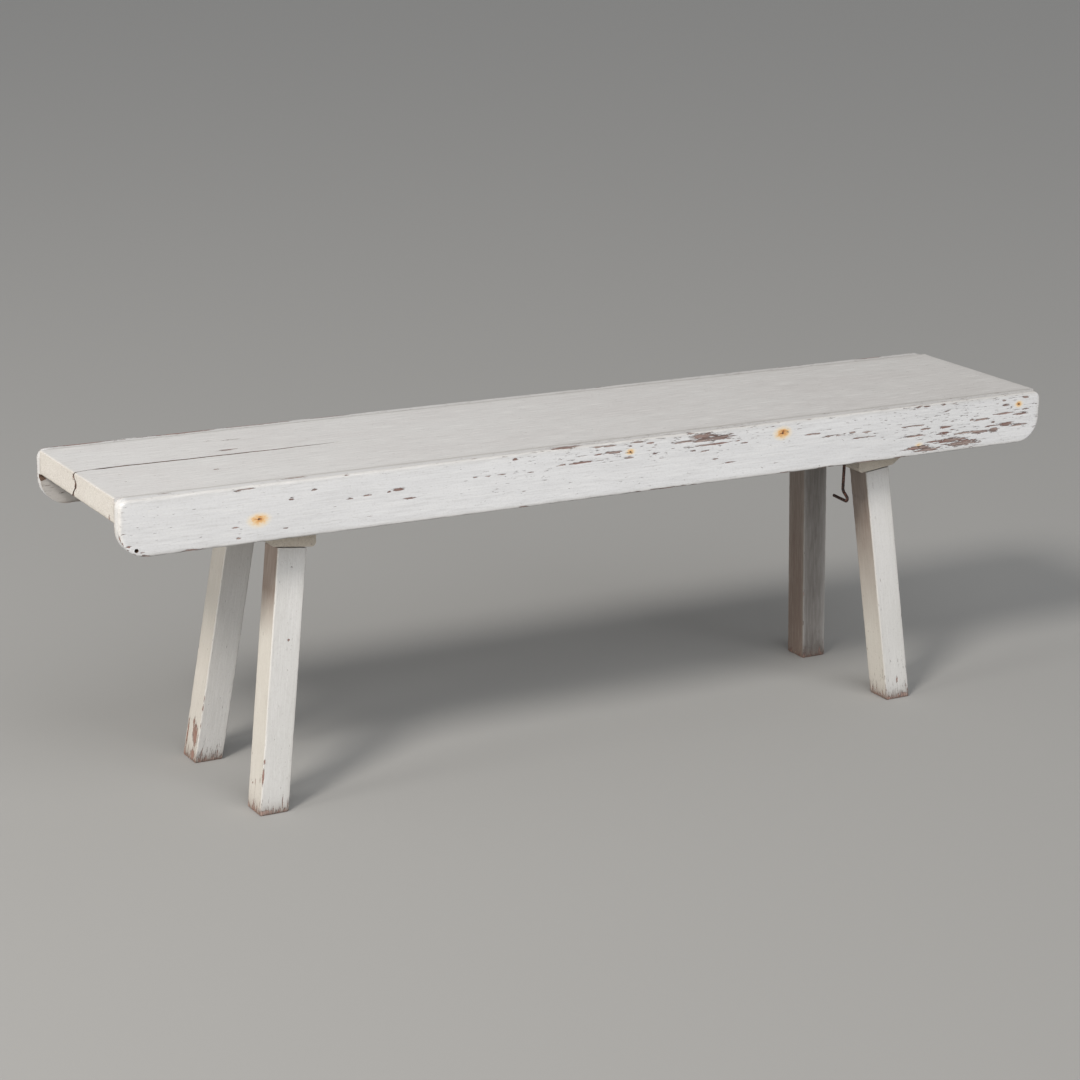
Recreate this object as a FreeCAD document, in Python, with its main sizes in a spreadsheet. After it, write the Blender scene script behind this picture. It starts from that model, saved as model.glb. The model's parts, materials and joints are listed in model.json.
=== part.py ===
import FreeCAD, Part
import math
import os

import Sketcher

# A long painted bench: a wide plank between two nailed rails, carried by two dovetailed bearers
# and four splayed legs, with a wire hook that hangs from a screw eye under one end.
# The origin is on the floor under the middle. X runs along the bench, the front rail is at -Y,
# and Z is up. Sizes are in millimetres and degrees.

SIZES = (
    ("bench_length", 1405.0, "length of the seat and of both rails"),
    ("bench_depth", 282.0, "depth over both rails"),
    ("bench_height", 440.0, "floor to the top of the seat"),
    ("seat_thickness", 32.0, "thickness of the seat plank"),
    ("seat_end_arris", 2.5, "rounding of the plank's end edges"),
    ("rail_height", 73.0, "height of each rail"),
    ("rail_thickness", 16.0, "thickness of each rail"),
    ("rail_lower_corner", 36.0, "radius of a rail's lower corners"),
    ("rail_upper_corner", 13.0, "radius of a rail's upper corners"),
    ("rail_outer_arris", 4.0, "rounding round a rail's outer face"),
    ("rail_inner_arris", 1.5, "rounding of a rail's lower inner edge"),
    ("bearer_inset", 172.5, "end of the bench to a bearer's outer side"),
    ("bearer_width", 108.0, "width of a bearer along the bench"),
    ("bearer_drop", 71.4, "seat's underside down to a bearer's inner lower edge"),
    ("bearer_seat", 59.0, "width of the slanted underside that the legs meet"),
    ("bearer_edge", 30.0, "height of a bearer's outer side below the seat"),
    ("bearer_corner", 6.0, "radius of a bearer's inner lower edge"),
    ("bearer_bevel", 11.0, "height of the bevel on a bearer's ends, below the rails"),
    ("tongue_height", 10.0, "height of the dovetail tongue on a bearer"),
    ("tongue_slant", 12.0, "slant of the dovetail's flanks, in degrees"),
    ("leg_side", 40.0, "side of a leg's square section"),
    ("leg_arris", 1.6, "rounding of a leg's long edges"),
    ("foot_arris", 2.0, "rounding of a leg's lowest edges"),
    ("splay_along", 6.65, "lean of the legs along the bench, in degrees"),
    ("splay_across", 5.12, "lean of the legs across the bench, in degrees"),
    ("mortise_inset", 24.4, "bearer's inner side to a leg's axis, at the seat's underside"),
    ("mortise_setback", 57.5, "rail's inner face to a leg's axis, at the seat's underside"),
    ("tenon_diameter", 25.0, "diameter of a leg's round tenon"),
    ("shoulder_gap", 2.4, "gap left over a leg's shoulder at its outer edge"),
    ("wedge_length", 34.0, "depth of the wedge in a tenon"),
    ("wedge_width", 20.0, "width of a wedge along the bench"),
    ("wedge_head", 4.0, "thickness of a wedge at its head"),
    ("wedge_tip", 1.0, "thickness of a wedge at its tip"),
    ("nail_length", 50.0, "length of a nail with its head"),
    ("nail_diameter", 3.0, "diameter of a nail's shank"),
    ("nail_point", 5.0, "length of a nail's point"),
    ("nail_tip_diameter", 0.6, "diameter of a nail's blunt tip"),
    ("nail_head_diameter", 6.5, "diameter of a nail's flat head"),
    ("nail_head_thickness", 1.2, "thickness of a nail's head"),
    ("old_hole_diameter", 5.0, "diameter of the empty hole in the front rail"),
    ("old_hole_inset", 21.5, "end of the bench to the empty hole"),
    ("old_hole_rise", 9.6, "lower edge of the rail to the empty hole"),
    ("chip_length", 8.0, "length of the chip in the rear rail's inner face"),
    ("chip_height", 9.0, "height of that chip below the seat"),
    ("chip_depth", 6.0, "depth of that chip"),
    ("split_length", 366.0, "length of the drying split from the left end"),
    ("split_width", 2.8, "width of the split at the end of the plank"),
    ("split_wander", 13.0, "how far the split strays behind the middle"),
    ("eye_wire", 4.0, "diameter of the screw eye's wire"),
    ("eye_radius", 7.0, "radius of the eye's ring, to the middle of the wire"),
    ("eye_neck_radius", 4.0, "radius of the bend between ring and shank"),
    ("eye_stub", 2.0, "straight wire between the eye's neck and the seat"),
    ("eye_thread", 18.0, "depth of the eye's shank in the seat"),
    ("hook_wire", 4.6, "diameter of the hook's wire"),
    ("hook_loop_radius", 6.5, "radius of the hook's loop, to the middle of the wire"),
    ("hook_neck_radius", 5.0, "radius of the bend between loop and shank"),
    ("hook_play", 0.6, "gap between the hook's loop and the eye's ring"),
    ("hook_inset", 16.0, "bearer's inner side to the hook's plane"),
    ("hook_setback", 45.0, "front rail's inner face to the eye"),
    ("hook_shank", 77.8, "pivot down to the kink in the shank"),
    ("hook_kink_radius", 8.0, "radius of the kink"),
    ("hook_kick", 20.1, "how far the kick would reach forward if it ended in a corner"),
    ("hook_depth", 91.9, "pivot down to that corner"),
    ("hook_turn_radius", 3.6, "radius of the turn at that corner"),
    ("hook_reach", 20.3, "pivot back to the finger's tip"),
    ("hook_finger_rise", 1.8, "rise of the finger from the corner to its tip"),
    ("hook_tip_round", 1.2, "rounding of the finger's tip"),
    ("wood_clearance", 0.15, "play between a tenon, tongue or wedge and its seat"),
    ("nail_clearance", 0.1, "play between a nail or screw and the wood"),
    ("overrun", 20.0, "how far a cut runs past the wood"),
)

# Places that follow the bench's own sizes, as shares of them
SEAT_NAIL_SHARES = (-0.945, -0.36, 0.014, 0.36, 0.945)  # of half the length, on the front rail
LEFT_BEARER_NAIL_SHARES = (0.923, 0.729)  # of the bearer's width, and of its height beside the rail
RIGHT_BEARER_NAIL_SHARES = (0.611, 0.373)
SPLIT_HEIGHT_SHARES = (-0.3, 0.1, 0.42, 0.56, 0.72, 1.0, 1.3)  # of the plank's thickness
# Each row of the split: its place as a share of its length, its width as a share of the width
# at the end, and its strays behind the middle as shares of the split's wander, from below up
SPLIT_ROWS = (
    (0.0, 1.0, (0.9, 1.0, 0.15, 0.1, 0.7, 0.45, 0.3)),
    (0.5, 0.75, (0.85, 0.85, 0.45, 0.4, 0.6, 0.65, 0.6)),
    (1.0, 0.12, (0.55, 0.57, 0.6, 0.61, 0.62, 0.65, 0.67)),
)
CHIP_STEP_SHARE = 0.7  # how much of the chip's height its inner end has
LOOP_END_DEGREES = 230.0  # how far round a wire's ring its free end is, from the neck's side

PLACE_TOLERANCE = 0.001  # how far apart two places may be and still count as one
VOLUME_TOLERANCE = 0.01  # share of its volume that a bent wire may be off

doc = FreeCAD.newDocument("Bench")
sheet = doc.addObject("Spreadsheet::Sheet", "Sizes")
for row, (alias, value, note) in enumerate(SIZES, 1):
    sheet.set(f"A{row}", alias)
    sheet.set(f"B{row}", str(value))
    sheet.setAlias(f"B{row}", alias)
    sheet.set(f"C{row}", note)
doc.recompute()

# Places worked out from the sizes, as expressions that the features are bound to
HALF_LENGTH = "(Sizes.bench_length / 2)"
HALF_DEPTH = "(Sizes.bench_depth / 2)"
INNER_HALF = f"({HALF_DEPTH} - Sizes.rail_thickness)"
SEAT_UNDERSIDE = "(Sizes.bench_height - Sizes.seat_thickness)"
RAIL_BOTTOM = "(Sizes.bench_height - Sizes.rail_height)"
BEARER_OUTER = f"({HALF_LENGTH} - Sizes.bearer_inset)"
BEARER_INNER = f"({BEARER_OUTER} - Sizes.bearer_width)"
TONGUE_UNDERCUT = "(Sizes.tongue_height * tan(Sizes.tongue_slant))"
TONGUE_TOP = f"({SEAT_UNDERSIDE} + Sizes.tongue_height)"
SLOPE_ALONG = "tan(Sizes.splay_along)"
SLOPE_ACROSS = "tan(Sizes.splay_across)"
LEAN = f"sqrt({SLOPE_ALONG} ^ 2 + {SLOPE_ACROSS} ^ 2)"
STRETCH = f"sqrt(1 + {SLOPE_ALONG} ^ 2 + {SLOPE_ACROSS} ^ 2)"
MORTISE_OUT = f"({BEARER_INNER} + Sizes.mortise_inset)"
FOOT_OUT = f"({MORTISE_OUT} + {SEAT_UNDERSIDE} * {SLOPE_ALONG})"
FOOT_SPREAD = f"({INNER_HALF} - Sizes.mortise_setback + {SEAT_UNDERSIDE} * {SLOPE_ACROSS})"
BEARER_BOTTOM = f"({SEAT_UNDERSIDE} - Sizes.bearer_drop)"
LEG_MEETS_BEARER = (
    f"(({BEARER_BOTTOM} + ({FOOT_OUT} - {BEARER_INNER}) * {SLOPE_ALONG}) / (1 + {SLOPE_ALONG} ^ 2))"
)
SHOULDER = (
    f"({LEG_MEETS_BEARER} * {STRETCH} - Sizes.shoulder_gap - Sizes.leg_side / 2 * {SLOPE_ACROSS})"
)
LEG_OUTER_FACE = (
    f"({FOOT_SPREAD} - {LEG_MEETS_BEARER} * {SLOPE_ACROSS} + Sizes.leg_side / 2 / cos(Sizes.splay_across))"
)
EYE_NECK_RISE = "sqrt(Sizes.eye_radius ^ 2 + 2 * Sizes.eye_radius * Sizes.eye_neck_radius)"
PIVOT_HEIGHT = f"({SEAT_UNDERSIDE} - Sizes.eye_stub - {EYE_NECK_RISE} - Sizes.eye_radius)"
HOOK_OUT = f"({BEARER_INNER} - Sizes.hook_inset)"
HOOK_Y = f"(Sizes.hook_setback - {INNER_HALF})"
HALF_TURN = "rotation(vector(0; 0; 1); 180)"
NO_TURN = "rotation(vector(0; 0; 1); 0)"


def number(expression):
    """The present value of an expression over the sheet."""
    value = sheet.evalExpression(expression)
    return float(getattr(value, "Value", value))


def new_body(label, placement=None):
    body = doc.addObject("PartDesign::Body", label)
    body.Label = label
    if placement:
        body.setExpression("Placement", placement)
    return body


def new_sketch(body, name, role, offset=None):
    """A sketch on one of the body's own planes, moved by the expression offset where it is given."""
    sketch = body.newObject("Sketcher::SketchObject", f"{body.Name}_{name}")
    plane = next(item for item in body.Origin.OriginFeatures if item.Role == role)
    sketch.AttachmentSupport = [(plane, "")]
    sketch.MapMode = "FlatFace"
    if offset:
        sketch.setExpression("AttachmentOffset", offset)
    return sketch


def along_normal(distance):
    """An offset of a sketch along its plane's normal, which is +Z, +X or -Y."""
    return f"placement(vector(0; 0; {distance}); {NO_TURN})"


def fix_place(sketch, geometry, vertex, across, up):
    """Dimensions one point of a sketch from the sketch's origin."""
    for direction, expression in (("DistanceX", across), ("DistanceY", up)):
        value = number(expression)
        constraint = Sketcher.Constraint(direction, -1, 1, geometry, vertex, value)
        row = sketch.addConstraint(constraint)
        sketch.setExpression(f"Constraints[{row}]", expression)


def add_outline(sketch, corners):
    """A closed outline of straight lines through corners, each a pair of expressions."""
    points = [FreeCAD.Vector(number(across), number(up), 0) for across, up in corners]
    first = sketch.GeometryCount
    for start, end in zip(points, points[1:] + points[:1]):
        sketch.addGeometry(Part.LineSegment(start, end), False)
    for step in range(len(points)):
        following = first + (step + 1) % len(points)
        sketch.addConstraint(Sketcher.Constraint("Coincident", first + step, 2, following, 1))
    for step, (across, up) in enumerate(corners):
        fix_place(sketch, first + step, 1, across, up)


def add_circle(sketch, across, up, radius):
    centre = FreeCAD.Vector(number(across), number(up), 0)
    index = sketch.addGeometry(Part.Circle(centre, FreeCAD.Vector(0, 0, 1), number(radius)), False)
    row = sketch.addConstraint(Sketcher.Constraint("Radius", index, number(radius)))
    sketch.setExpression(f"Constraints[{row}]", radius)
    if centre.Length > 0:
        fix_place(sketch, index, 3, across, up)
    else:
        sketch.addConstraint(Sketcher.Constraint("Coincident", index, 3, -1, 1))


def add_square(sketch, half):
    """A square round the sketch's origin, with half its side as an expression."""
    other = f"-({half})"
    add_outline(sketch, ((other, other), (half, other), (half, half), (other, half)))


def feature(body, kind, name, profile, length=None, backwards=False, both_ways=False):
    """A pad or pocket of a sketch. Without a length a pocket goes right through."""
    made = body.newObject(f"PartDesign::{kind}", f"{body.Name}_{name}")
    made.Profile = profile
    made.SideType = "Symmetric" if both_ways else "One side"
    made.Reversed = backwards
    if length:
        made.setExpression("Length", length)
    else:
        made.Type = "ThroughAll"
    doc.recompute()
    return made


def cut(body, name, profile, **choices):
    """A pocket that has to take wood away."""
    before = body.Shape.Volume
    made = feature(body, "Pocket", name, profile, **choices)
    if not made.Shape.Volume < before:
        raise RuntimeError(f"{body.Label}: {name} cuts nothing")
    return made


def round_edges(body, name, radius, chosen):
    """Rounds the edges of the body for which chosen is true."""
    edges = [f"Edge{count}" for count, edge in enumerate(body.Tip.Shape.Edges, 1) if chosen(edge)]
    fillet = body.newObject("PartDesign::Fillet", f"{body.Name}_{name}")
    fillet.Base = (fillet.BaseFeature, edges)
    fillet.setExpression("Radius", radius)
    doc.recompute()
    return fillet


def spans(edge, axis):
    """How far an edge's two ends are apart along x, y or z."""
    places = [getattr(vertex.Point, axis) for vertex in edge.Vertexes]
    return max(places) - min(places)


def near(value, expression):
    return math.isclose(value, number(expression), abs_tol=PLACE_TOLERANCE)


def all_at(edge, axis, expression):
    return all(near(getattr(vertex.Point, axis), expression) for vertex in edge.Vertexes)


# The seat: one wide plank, split from its left end, with the bearers' housings in its underside
seat = new_body("seat_plank")
seat_outline = new_sketch(seat, "outline", "XY_Plane", along_normal(SEAT_UNDERSIDE))
add_outline(
    seat_outline,
    (
        (f"-{HALF_LENGTH}", f"-{INNER_HALF}"),
        (HALF_LENGTH, f"-{INNER_HALF}"),
        (HALF_LENGTH, INNER_HALF),
        (f"-{HALF_LENGTH}", INNER_HALF),
    ),
)
feature(seat, "Pad", "board", seat_outline, length="Sizes.seat_thickness")
round_edges(
    seat,
    "end_arrises",
    "Sizes.seat_end_arris",
    lambda edge: spans(edge, "y") > 0 and near(abs(edge.CenterOfMass.x), HALF_LENGTH),
)

housings = new_sketch(seat, "housings", "XZ_Plane")
for side in ("-1", "1"):
    play = "Sizes.wood_clearance"
    below = f"({SEAT_UNDERSIDE} - Sizes.overrun)"
    add_outline(
        housings,
        (
            (f"{side} * ({BEARER_INNER} + {TONGUE_UNDERCUT} - {play})", below),
            (f"{side} * ({BEARER_OUTER} - {TONGUE_UNDERCUT} + {play})", below),
            (f"{side} * ({BEARER_OUTER} - {TONGUE_UNDERCUT} + {play})", SEAT_UNDERSIDE),
            (f"{side} * ({BEARER_OUTER} + {play})", f"({TONGUE_TOP} + {play})"),
            (f"{side} * ({BEARER_INNER} - {play})", f"({TONGUE_TOP} + {play})"),
            (f"{side} * ({BEARER_INNER} + {TONGUE_UNDERCUT} - {play})", SEAT_UNDERSIDE),
        ),
    )
cut(seat, "dovetail_housings", housings, length="Sizes.bench_depth", both_ways=True)

NAIL_HOLE = "(Sizes.nail_diameter / 2 + Sizes.nail_clearance)"
NAIL_HOLE_DEPTH = "(Sizes.nail_length - Sizes.rail_thickness + Sizes.nail_clearance)"
SEAT_NAIL_HEIGHT = f"({SEAT_UNDERSIDE} + Sizes.seat_thickness / 2)"
seat_holes = new_sketch(seat, "nail_places", "XZ_Plane", along_normal(INNER_HALF))
for share in SEAT_NAIL_SHARES:
    add_circle(seat_holes, f"{share} * {HALF_LENGTH}", SEAT_NAIL_HEIGHT, NAIL_HOLE)
seat_hole_cut = cut(seat, "nail_holes", seat_holes, length=NAIL_HOLE_DEPTH)
seat_mirror = seat.newObject("PartDesign::Mirrored", "seat_plank_rear_nail_holes")
seat_mirror.Originals = [seat_hole_cut]
seat_mirror.MirrorPlane = (
    next(item for item in seat.Origin.OriginFeatures if item.Role == "XZ_Plane"),
    [""],
)
seat.Tip = seat_mirror
doc.recompute()

eye_place = new_sketch(seat, "eye_place", "XY_Plane", along_normal(SEAT_UNDERSIDE))
add_circle(eye_place, HOOK_OUT, HOOK_Y, "(Sizes.eye_wire / 2 + Sizes.nail_clearance)")
cut(seat, "eye_hole", eye_place, length="(Sizes.eye_thread + Sizes.nail_clearance)", backwards=True)

split_sketches = []
for count, (place_share, width_share, stray_shares) in enumerate(SPLIT_ROWS):
    reach = "0" if place_share else "Sizes.overrun"
    station = f"({place_share} * Sizes.split_length - {HALF_LENGTH} - {reach})"
    split_sketch = new_sketch(seat, f"split_row_{count}", "YZ_Plane", along_normal(station))
    front_side = []
    rear_side = []
    for height_share, stray_share in zip(SPLIT_HEIGHT_SHARES, stray_shares):
        height = f"({SEAT_UNDERSIDE} + {height_share} * Sizes.seat_thickness)"
        middle = f"{stray_share} * Sizes.split_wander"
        half_gap = f"{width_share} * Sizes.split_width / 2"
        front_side.append((f"({middle} - {half_gap})", height))
        rear_side.append((f"({middle} + {half_gap})", height))
    add_outline(split_sketch, front_side + rear_side[::-1])
    split_sketches.append(split_sketch)
whole_seat = seat.Shape.Volume
split = seat.newObject("PartDesign::SubtractiveLoft", "seat_plank_drying_split")
split.Profile = split_sketches[0]
split.Sections = split_sketches[1:]
split.Ruled = True
doc.recompute()
if not split.Shape.Volume < whole_seat:
    raise RuntimeError("seat_plank: the split cuts nothing")


def bearer_nail(shares):
    """Where a bearer's nail goes: how far out from the middle, and how high."""
    out_share, up_share = shares
    out = f"({BEARER_INNER} + {out_share} * Sizes.bearer_width)"
    up = f"({RAIL_BOTTOM} + {up_share} * ({SEAT_UNDERSIDE} - {RAIL_BOTTOM}))"
    return out, up


def nail_places(left_sign):
    """Every nail of one rail in the rail's own frame, where left_sign points to the bench's left."""
    seat_places = [(f"{left_sign * -share} * {HALF_LENGTH}", SEAT_NAIL_HEIGHT) for share in SEAT_NAIL_SHARES]
    bearer_places = []
    for sign, shares in ((left_sign, LEFT_BEARER_NAIL_SHARES), (-left_sign, RIGHT_BEARER_NAIL_SHARES)):
        out, up = bearer_nail(shares)
        bearer_places.append((f"{sign} * {out}", up))
    return seat_places, bearer_places


def make_rail(label, left_sign, placement=None):
    """A rail in its own frame, with its outer face at -Y: a board with rounded ends, nailed on."""
    rail = new_body(label, placement)
    outline = new_sketch(rail, "outline", "XZ_Plane", along_normal(HALF_DEPTH))
    add_outline(
        outline,
        (
            (f"-{HALF_LENGTH}", RAIL_BOTTOM),
            (HALF_LENGTH, RAIL_BOTTOM),
            (HALF_LENGTH, "Sizes.bench_height"),
            (f"-{HALF_LENGTH}", "Sizes.bench_height"),
        ),
    )
    feature(rail, "Pad", "board", outline, length="Sizes.rail_thickness", backwards=True)
    round_edges(
        rail,
        "lower_corners",
        "Sizes.rail_lower_corner",
        lambda edge: spans(edge, "y") > 0 and near(edge.CenterOfMass.z, RAIL_BOTTOM),
    )
    round_edges(
        rail,
        "upper_corners",
        "Sizes.rail_upper_corner",
        lambda edge: spans(edge, "y") > 0 and near(edge.CenterOfMass.z, "Sizes.bench_height"),
    )
    round_edges(
        rail,
        "outer_arris",
        "Sizes.rail_outer_arris",
        lambda edge: all_at(edge, "y", f"-{HALF_DEPTH}"),
    )
    round_edges(
        rail,
        "inner_arris",
        "Sizes.rail_inner_arris",
        lambda edge: all_at(edge, "y", f"-{INNER_HALF}") and all_at(edge, "z", RAIL_BOTTOM),
    )
    seat_places, bearer_places = nail_places(left_sign)
    shanks = new_sketch(rail, "shank_places", "XZ_Plane", along_normal(HALF_DEPTH))
    heads = new_sketch(rail, "head_places", "XZ_Plane", along_normal(HALF_DEPTH))
    for out, up in seat_places + bearer_places:
        add_circle(shanks, out, up, NAIL_HOLE)
        add_circle(heads, out, up, "(Sizes.nail_head_diameter / 2 + Sizes.nail_clearance)")
    cut(rail, "shank_holes", shanks)
    cut(rail, "head_seats", heads, length="Sizes.nail_head_thickness")
    return rail


# The front rail has an old hole near its left end that nothing is left in
front_rail = make_rail("front_rail", -1)
old_hole = new_sketch(front_rail, "old_hole_place", "XZ_Plane", along_normal(HALF_DEPTH))
add_circle(
    old_hole,
    f"(Sizes.old_hole_inset - {HALF_LENGTH})",
    f"({RAIL_BOTTOM} + Sizes.old_hole_rise)",
    "Sizes.old_hole_diameter / 2",
)
cut(front_rail, "old_hole", old_hole)

# The rear rail is the same board turned round, chipped inside its left end under the seat
rear_rail = make_rail("rear_rail", 1, f"placement(vector(0; 0; 0); {HALF_TURN})")
chip = new_sketch(rear_rail, "chip_outline", "XZ_Plane", along_normal(INNER_HALF))
chip_inner_end = f"({SEAT_UNDERSIDE} - {CHIP_STEP_SHARE} * Sizes.chip_height)"
add_outline(
    chip,
    (
        (f"({HALF_LENGTH} + Sizes.overrun)", SEAT_UNDERSIDE),
        (f"({HALF_LENGTH} - Sizes.chip_length / 2)", SEAT_UNDERSIDE),
        (f"({HALF_LENGTH} - Sizes.chip_length)", chip_inner_end),
        (f"({HALF_LENGTH} + Sizes.overrun)", f"({SEAT_UNDERSIDE} - Sizes.chip_height)"),
    ),
)
cut(rear_rail, "chip", chip, length="Sizes.chip_depth", backwards=True)


def lean_rotation(out, back, sign=1):
    """Turns +Z to a leg's axis, which leans in to the middle. out and back are the leg's quarter."""
    axis = f"vector({back} * {SLOPE_ACROSS}; {-out} * {SLOPE_ALONG}; 0)"
    return f"rotation({axis}; {sign} * atan({LEAN}))"


def leg_placement(out, back):
    """A leg's own frame stands at the middle of its foot, with Z up its axis."""
    return f"placement(vector({out} * {FOOT_OUT}; {back} * {FOOT_SPREAD}; 0); {lean_rotation(out, back)})"


def level_plane(out, back, height):
    """A level sketch plane in a leg's own frame, at a height above the floor."""
    rise = f"{height} / {STRETCH}"
    up = f"vector({out} * {SLOPE_ALONG} * {rise}; {back} * {SLOPE_ACROSS} * {rise}; {rise})"
    return f"placement({up}; {lean_rotation(out, back, -1)})"


def wedge_outline(sketch, play):
    """The wedge's long section, from its head down, with play all round it."""
    top = f"({TONGUE_TOP} * {STRETCH} + Sizes.overrun)"
    tip = f"({TONGUE_TOP} * {STRETCH} - Sizes.wedge_length - {play})"
    taper = "(Sizes.wedge_head - Sizes.wedge_tip) / 2 / Sizes.wedge_length"
    half_tip = f"(Sizes.wedge_tip / 2 + {play})"
    half_top = f"({half_tip} + {taper} * ({top} - {tip}))"
    add_outline(sketch, ((f"-{half_tip}", tip), (half_tip, tip), (half_top, top), (f"-{half_top}", top)))


def trim_level(body, name, out, back, height, above):
    """Saws a leaning piece off level at a height, above or below it."""
    plane = new_sketch(body, f"{name}_plane", "XY_Plane", level_plane(out, back, height))
    add_square(plane, "2 * Sizes.leg_side")
    return cut(body, name, plane, length="4 * Sizes.leg_side", backwards=above)


def make_leg(label, out, back):
    """A square leg with a round tenon, its foot sawn level and its tenon kerfed for a wedge."""
    leg = new_body(label, leg_placement(out, back))
    section = new_sketch(leg, "section", "XY_Plane", along_normal("-Sizes.overrun"))
    add_square(section, "Sizes.leg_side / 2")
    feature(leg, "Pad", "shaft", section, length=f"({SHOULDER} + Sizes.overrun)")
    round_edges(leg, "long_arrises", "Sizes.leg_arris", lambda edge: spans(edge, "z") > 0)
    round_tenon = new_sketch(leg, "tenon_section", "XY_Plane", along_normal(SHOULDER))
    add_circle(round_tenon, "0", "0", "Sizes.tenon_diameter / 2")
    tenon_length = f"({TONGUE_TOP} * {STRETCH} - {SHOULDER} + Sizes.overrun)"
    feature(leg, "Pad", "tenon", round_tenon, length=tenon_length)
    kerf = new_sketch(leg, "kerf_section", "YZ_Plane")
    wedge_outline(kerf, "Sizes.wood_clearance")
    cut(leg, "wedge_kerf", kerf, length="2 * Sizes.tenon_diameter", both_ways=True)
    trim_level(leg, "tenon_end", out, back, TONGUE_TOP, True)
    trim_level(leg, "foot_end", out, back, "0", False)
    foot = min(leg.Tip.Shape.Faces, key=lambda face: face.CenterOfMass.Length)
    round_edges(
        leg,
        "foot_arris",
        "Sizes.foot_arris",
        lambda edge: any(edge.isSame(rim) for rim in foot.Edges),
    )
    return leg


def make_wedge(label, out, back):
    """The wedge that spreads a tenon along the bearer's grain, trimmed level with the tongue."""
    wedge = new_body(label, leg_placement(out, back))
    section = new_sketch(wedge, "section", "YZ_Plane")
    wedge_outline(section, "0")
    feature(wedge, "Pad", "sliver", section, length="Sizes.wedge_width", both_ways=True)
    trim_level(wedge, "trimmed_head", out, back, TONGUE_TOP, True)
    return wedge


def make_bearer(label, nail_shares, placement=None):
    """A bearer in its own frame, with +X outwards: a dovetail tongue on top, a slanted underside
    square to the legs' lean along the bench, and two leaning mortises."""
    bearer = new_body(label, placement)
    outline = new_sketch(bearer, "outline", "XZ_Plane")
    slanted_rise = f"Sizes.bearer_seat * {SLOPE_ALONG}"
    add_outline(
        outline,
        (
            (BEARER_INNER, BEARER_BOTTOM),
            (f"({BEARER_INNER} + Sizes.bearer_seat)", f"({BEARER_BOTTOM} + {slanted_rise})"),
            (BEARER_OUTER, f"({SEAT_UNDERSIDE} - Sizes.bearer_edge)"),
            (BEARER_OUTER, SEAT_UNDERSIDE),
            (f"({BEARER_OUTER} - {TONGUE_UNDERCUT})", SEAT_UNDERSIDE),
            (BEARER_OUTER, TONGUE_TOP),
            (BEARER_INNER, TONGUE_TOP),
            (f"({BEARER_INNER} + {TONGUE_UNDERCUT})", SEAT_UNDERSIDE),
            (BEARER_INNER, SEAT_UNDERSIDE),
        ),
    )
    feature(bearer, "Pad", "block", outline, length=f"2 * {INNER_HALF}", both_ways=True)
    round_edges(
        bearer,
        "inner_corner",
        "Sizes.bearer_corner",
        lambda edge: spans(edge, "y") > 0 and all_at(edge, "z", BEARER_BOTTOM),
    )
    for sign in (-1, 1):
        side = "front" if sign < 0 else "rear"
        end = new_sketch(bearer, f"{side}_end_outline", "YZ_Plane")
        low = f"({BEARER_BOTTOM} - Sizes.overrun)"
        outside = f"{sign} * ({INNER_HALF} + Sizes.overrun)"
        add_outline(
            end,
            (
                (f"{sign} * {LEG_OUTER_FACE}", low),
                (f"{sign} * {LEG_OUTER_FACE}", f"({RAIL_BOTTOM} - Sizes.bearer_bevel)"),
                (f"{sign} * {INNER_HALF}", RAIL_BOTTOM),
                (outside, RAIL_BOTTOM),
                (outside, low),
            ),
        )
        cut(bearer, f"{side}_end", end, length="2 * Sizes.bench_length", both_ways=True)
        axis_foot = f"vector({FOOT_OUT}; {sign} * {FOOT_SPREAD}; 0)"
        mortise = new_sketch(
            bearer, f"{side}_mortise_place", "XY_Plane", f"placement({axis_foot}; {lean_rotation(1, sign)})"
        )
        add_circle(mortise, "0", "0", "(Sizes.tenon_diameter / 2 + Sizes.wood_clearance)")
        cut(bearer, f"{side}_mortise", mortise, length="2 * Sizes.bench_height", backwards=True)
        nail_plane = along_normal(f"{-sign} * {INNER_HALF}")
        nail = new_sketch(bearer, f"{side}_nail_place", "XZ_Plane", nail_plane)
        add_circle(nail, *bearer_nail(nail_shares), NAIL_HOLE)
        cut(bearer, f"{side}_nail_hole", nail, length=NAIL_HOLE_DEPTH, backwards=sign > 0)
    return bearer


make_bearer("right_bearer", RIGHT_BEARER_NAIL_SHARES)
make_bearer("left_bearer", LEFT_BEARER_NAIL_SHARES, f"placement(vector(0; 0; 0); {HALF_TURN})")

for row_word, back in (("front", -1), ("rear", 1)):
    for end_word, out in (("left", -1), ("right", 1)):
        make_leg(f"{row_word}_{end_word}_leg", out, back)
        make_wedge(f"{row_word}_{end_word}_wedge", out, back)


def make_nail():
    """The pattern nail: its head's outer face at the origin, and its point towards +Z."""
    shank_length = "(Sizes.nail_length - Sizes.nail_head_thickness - Sizes.nail_point)"
    head = doc.addObject("Part::Cylinder", "nail_head")
    head.setExpression("Radius", "Sizes.nail_head_diameter / 2")
    head.setExpression("Height", "Sizes.nail_head_thickness")
    shank = doc.addObject("Part::Cylinder", "nail_shank")
    shank.setExpression("Radius", "Sizes.nail_diameter / 2")
    shank.setExpression("Height", shank_length)
    shank.setExpression("Placement", along_normal("Sizes.nail_head_thickness"))
    point = doc.addObject("Part::Cone", "nail_point")
    point.setExpression("Radius1", "Sizes.nail_diameter / 2")
    point.setExpression("Radius2", "Sizes.nail_tip_diameter / 2")
    point.setExpression("Height", "Sizes.nail_point")
    point.setExpression("Placement", along_normal("(Sizes.nail_length - Sizes.nail_point)"))
    nail = doc.addObject("Part::MultiFuse", "pattern_nail")
    nail.Shapes = [head, shank, point]
    doc.recompute()
    return nail


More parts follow.
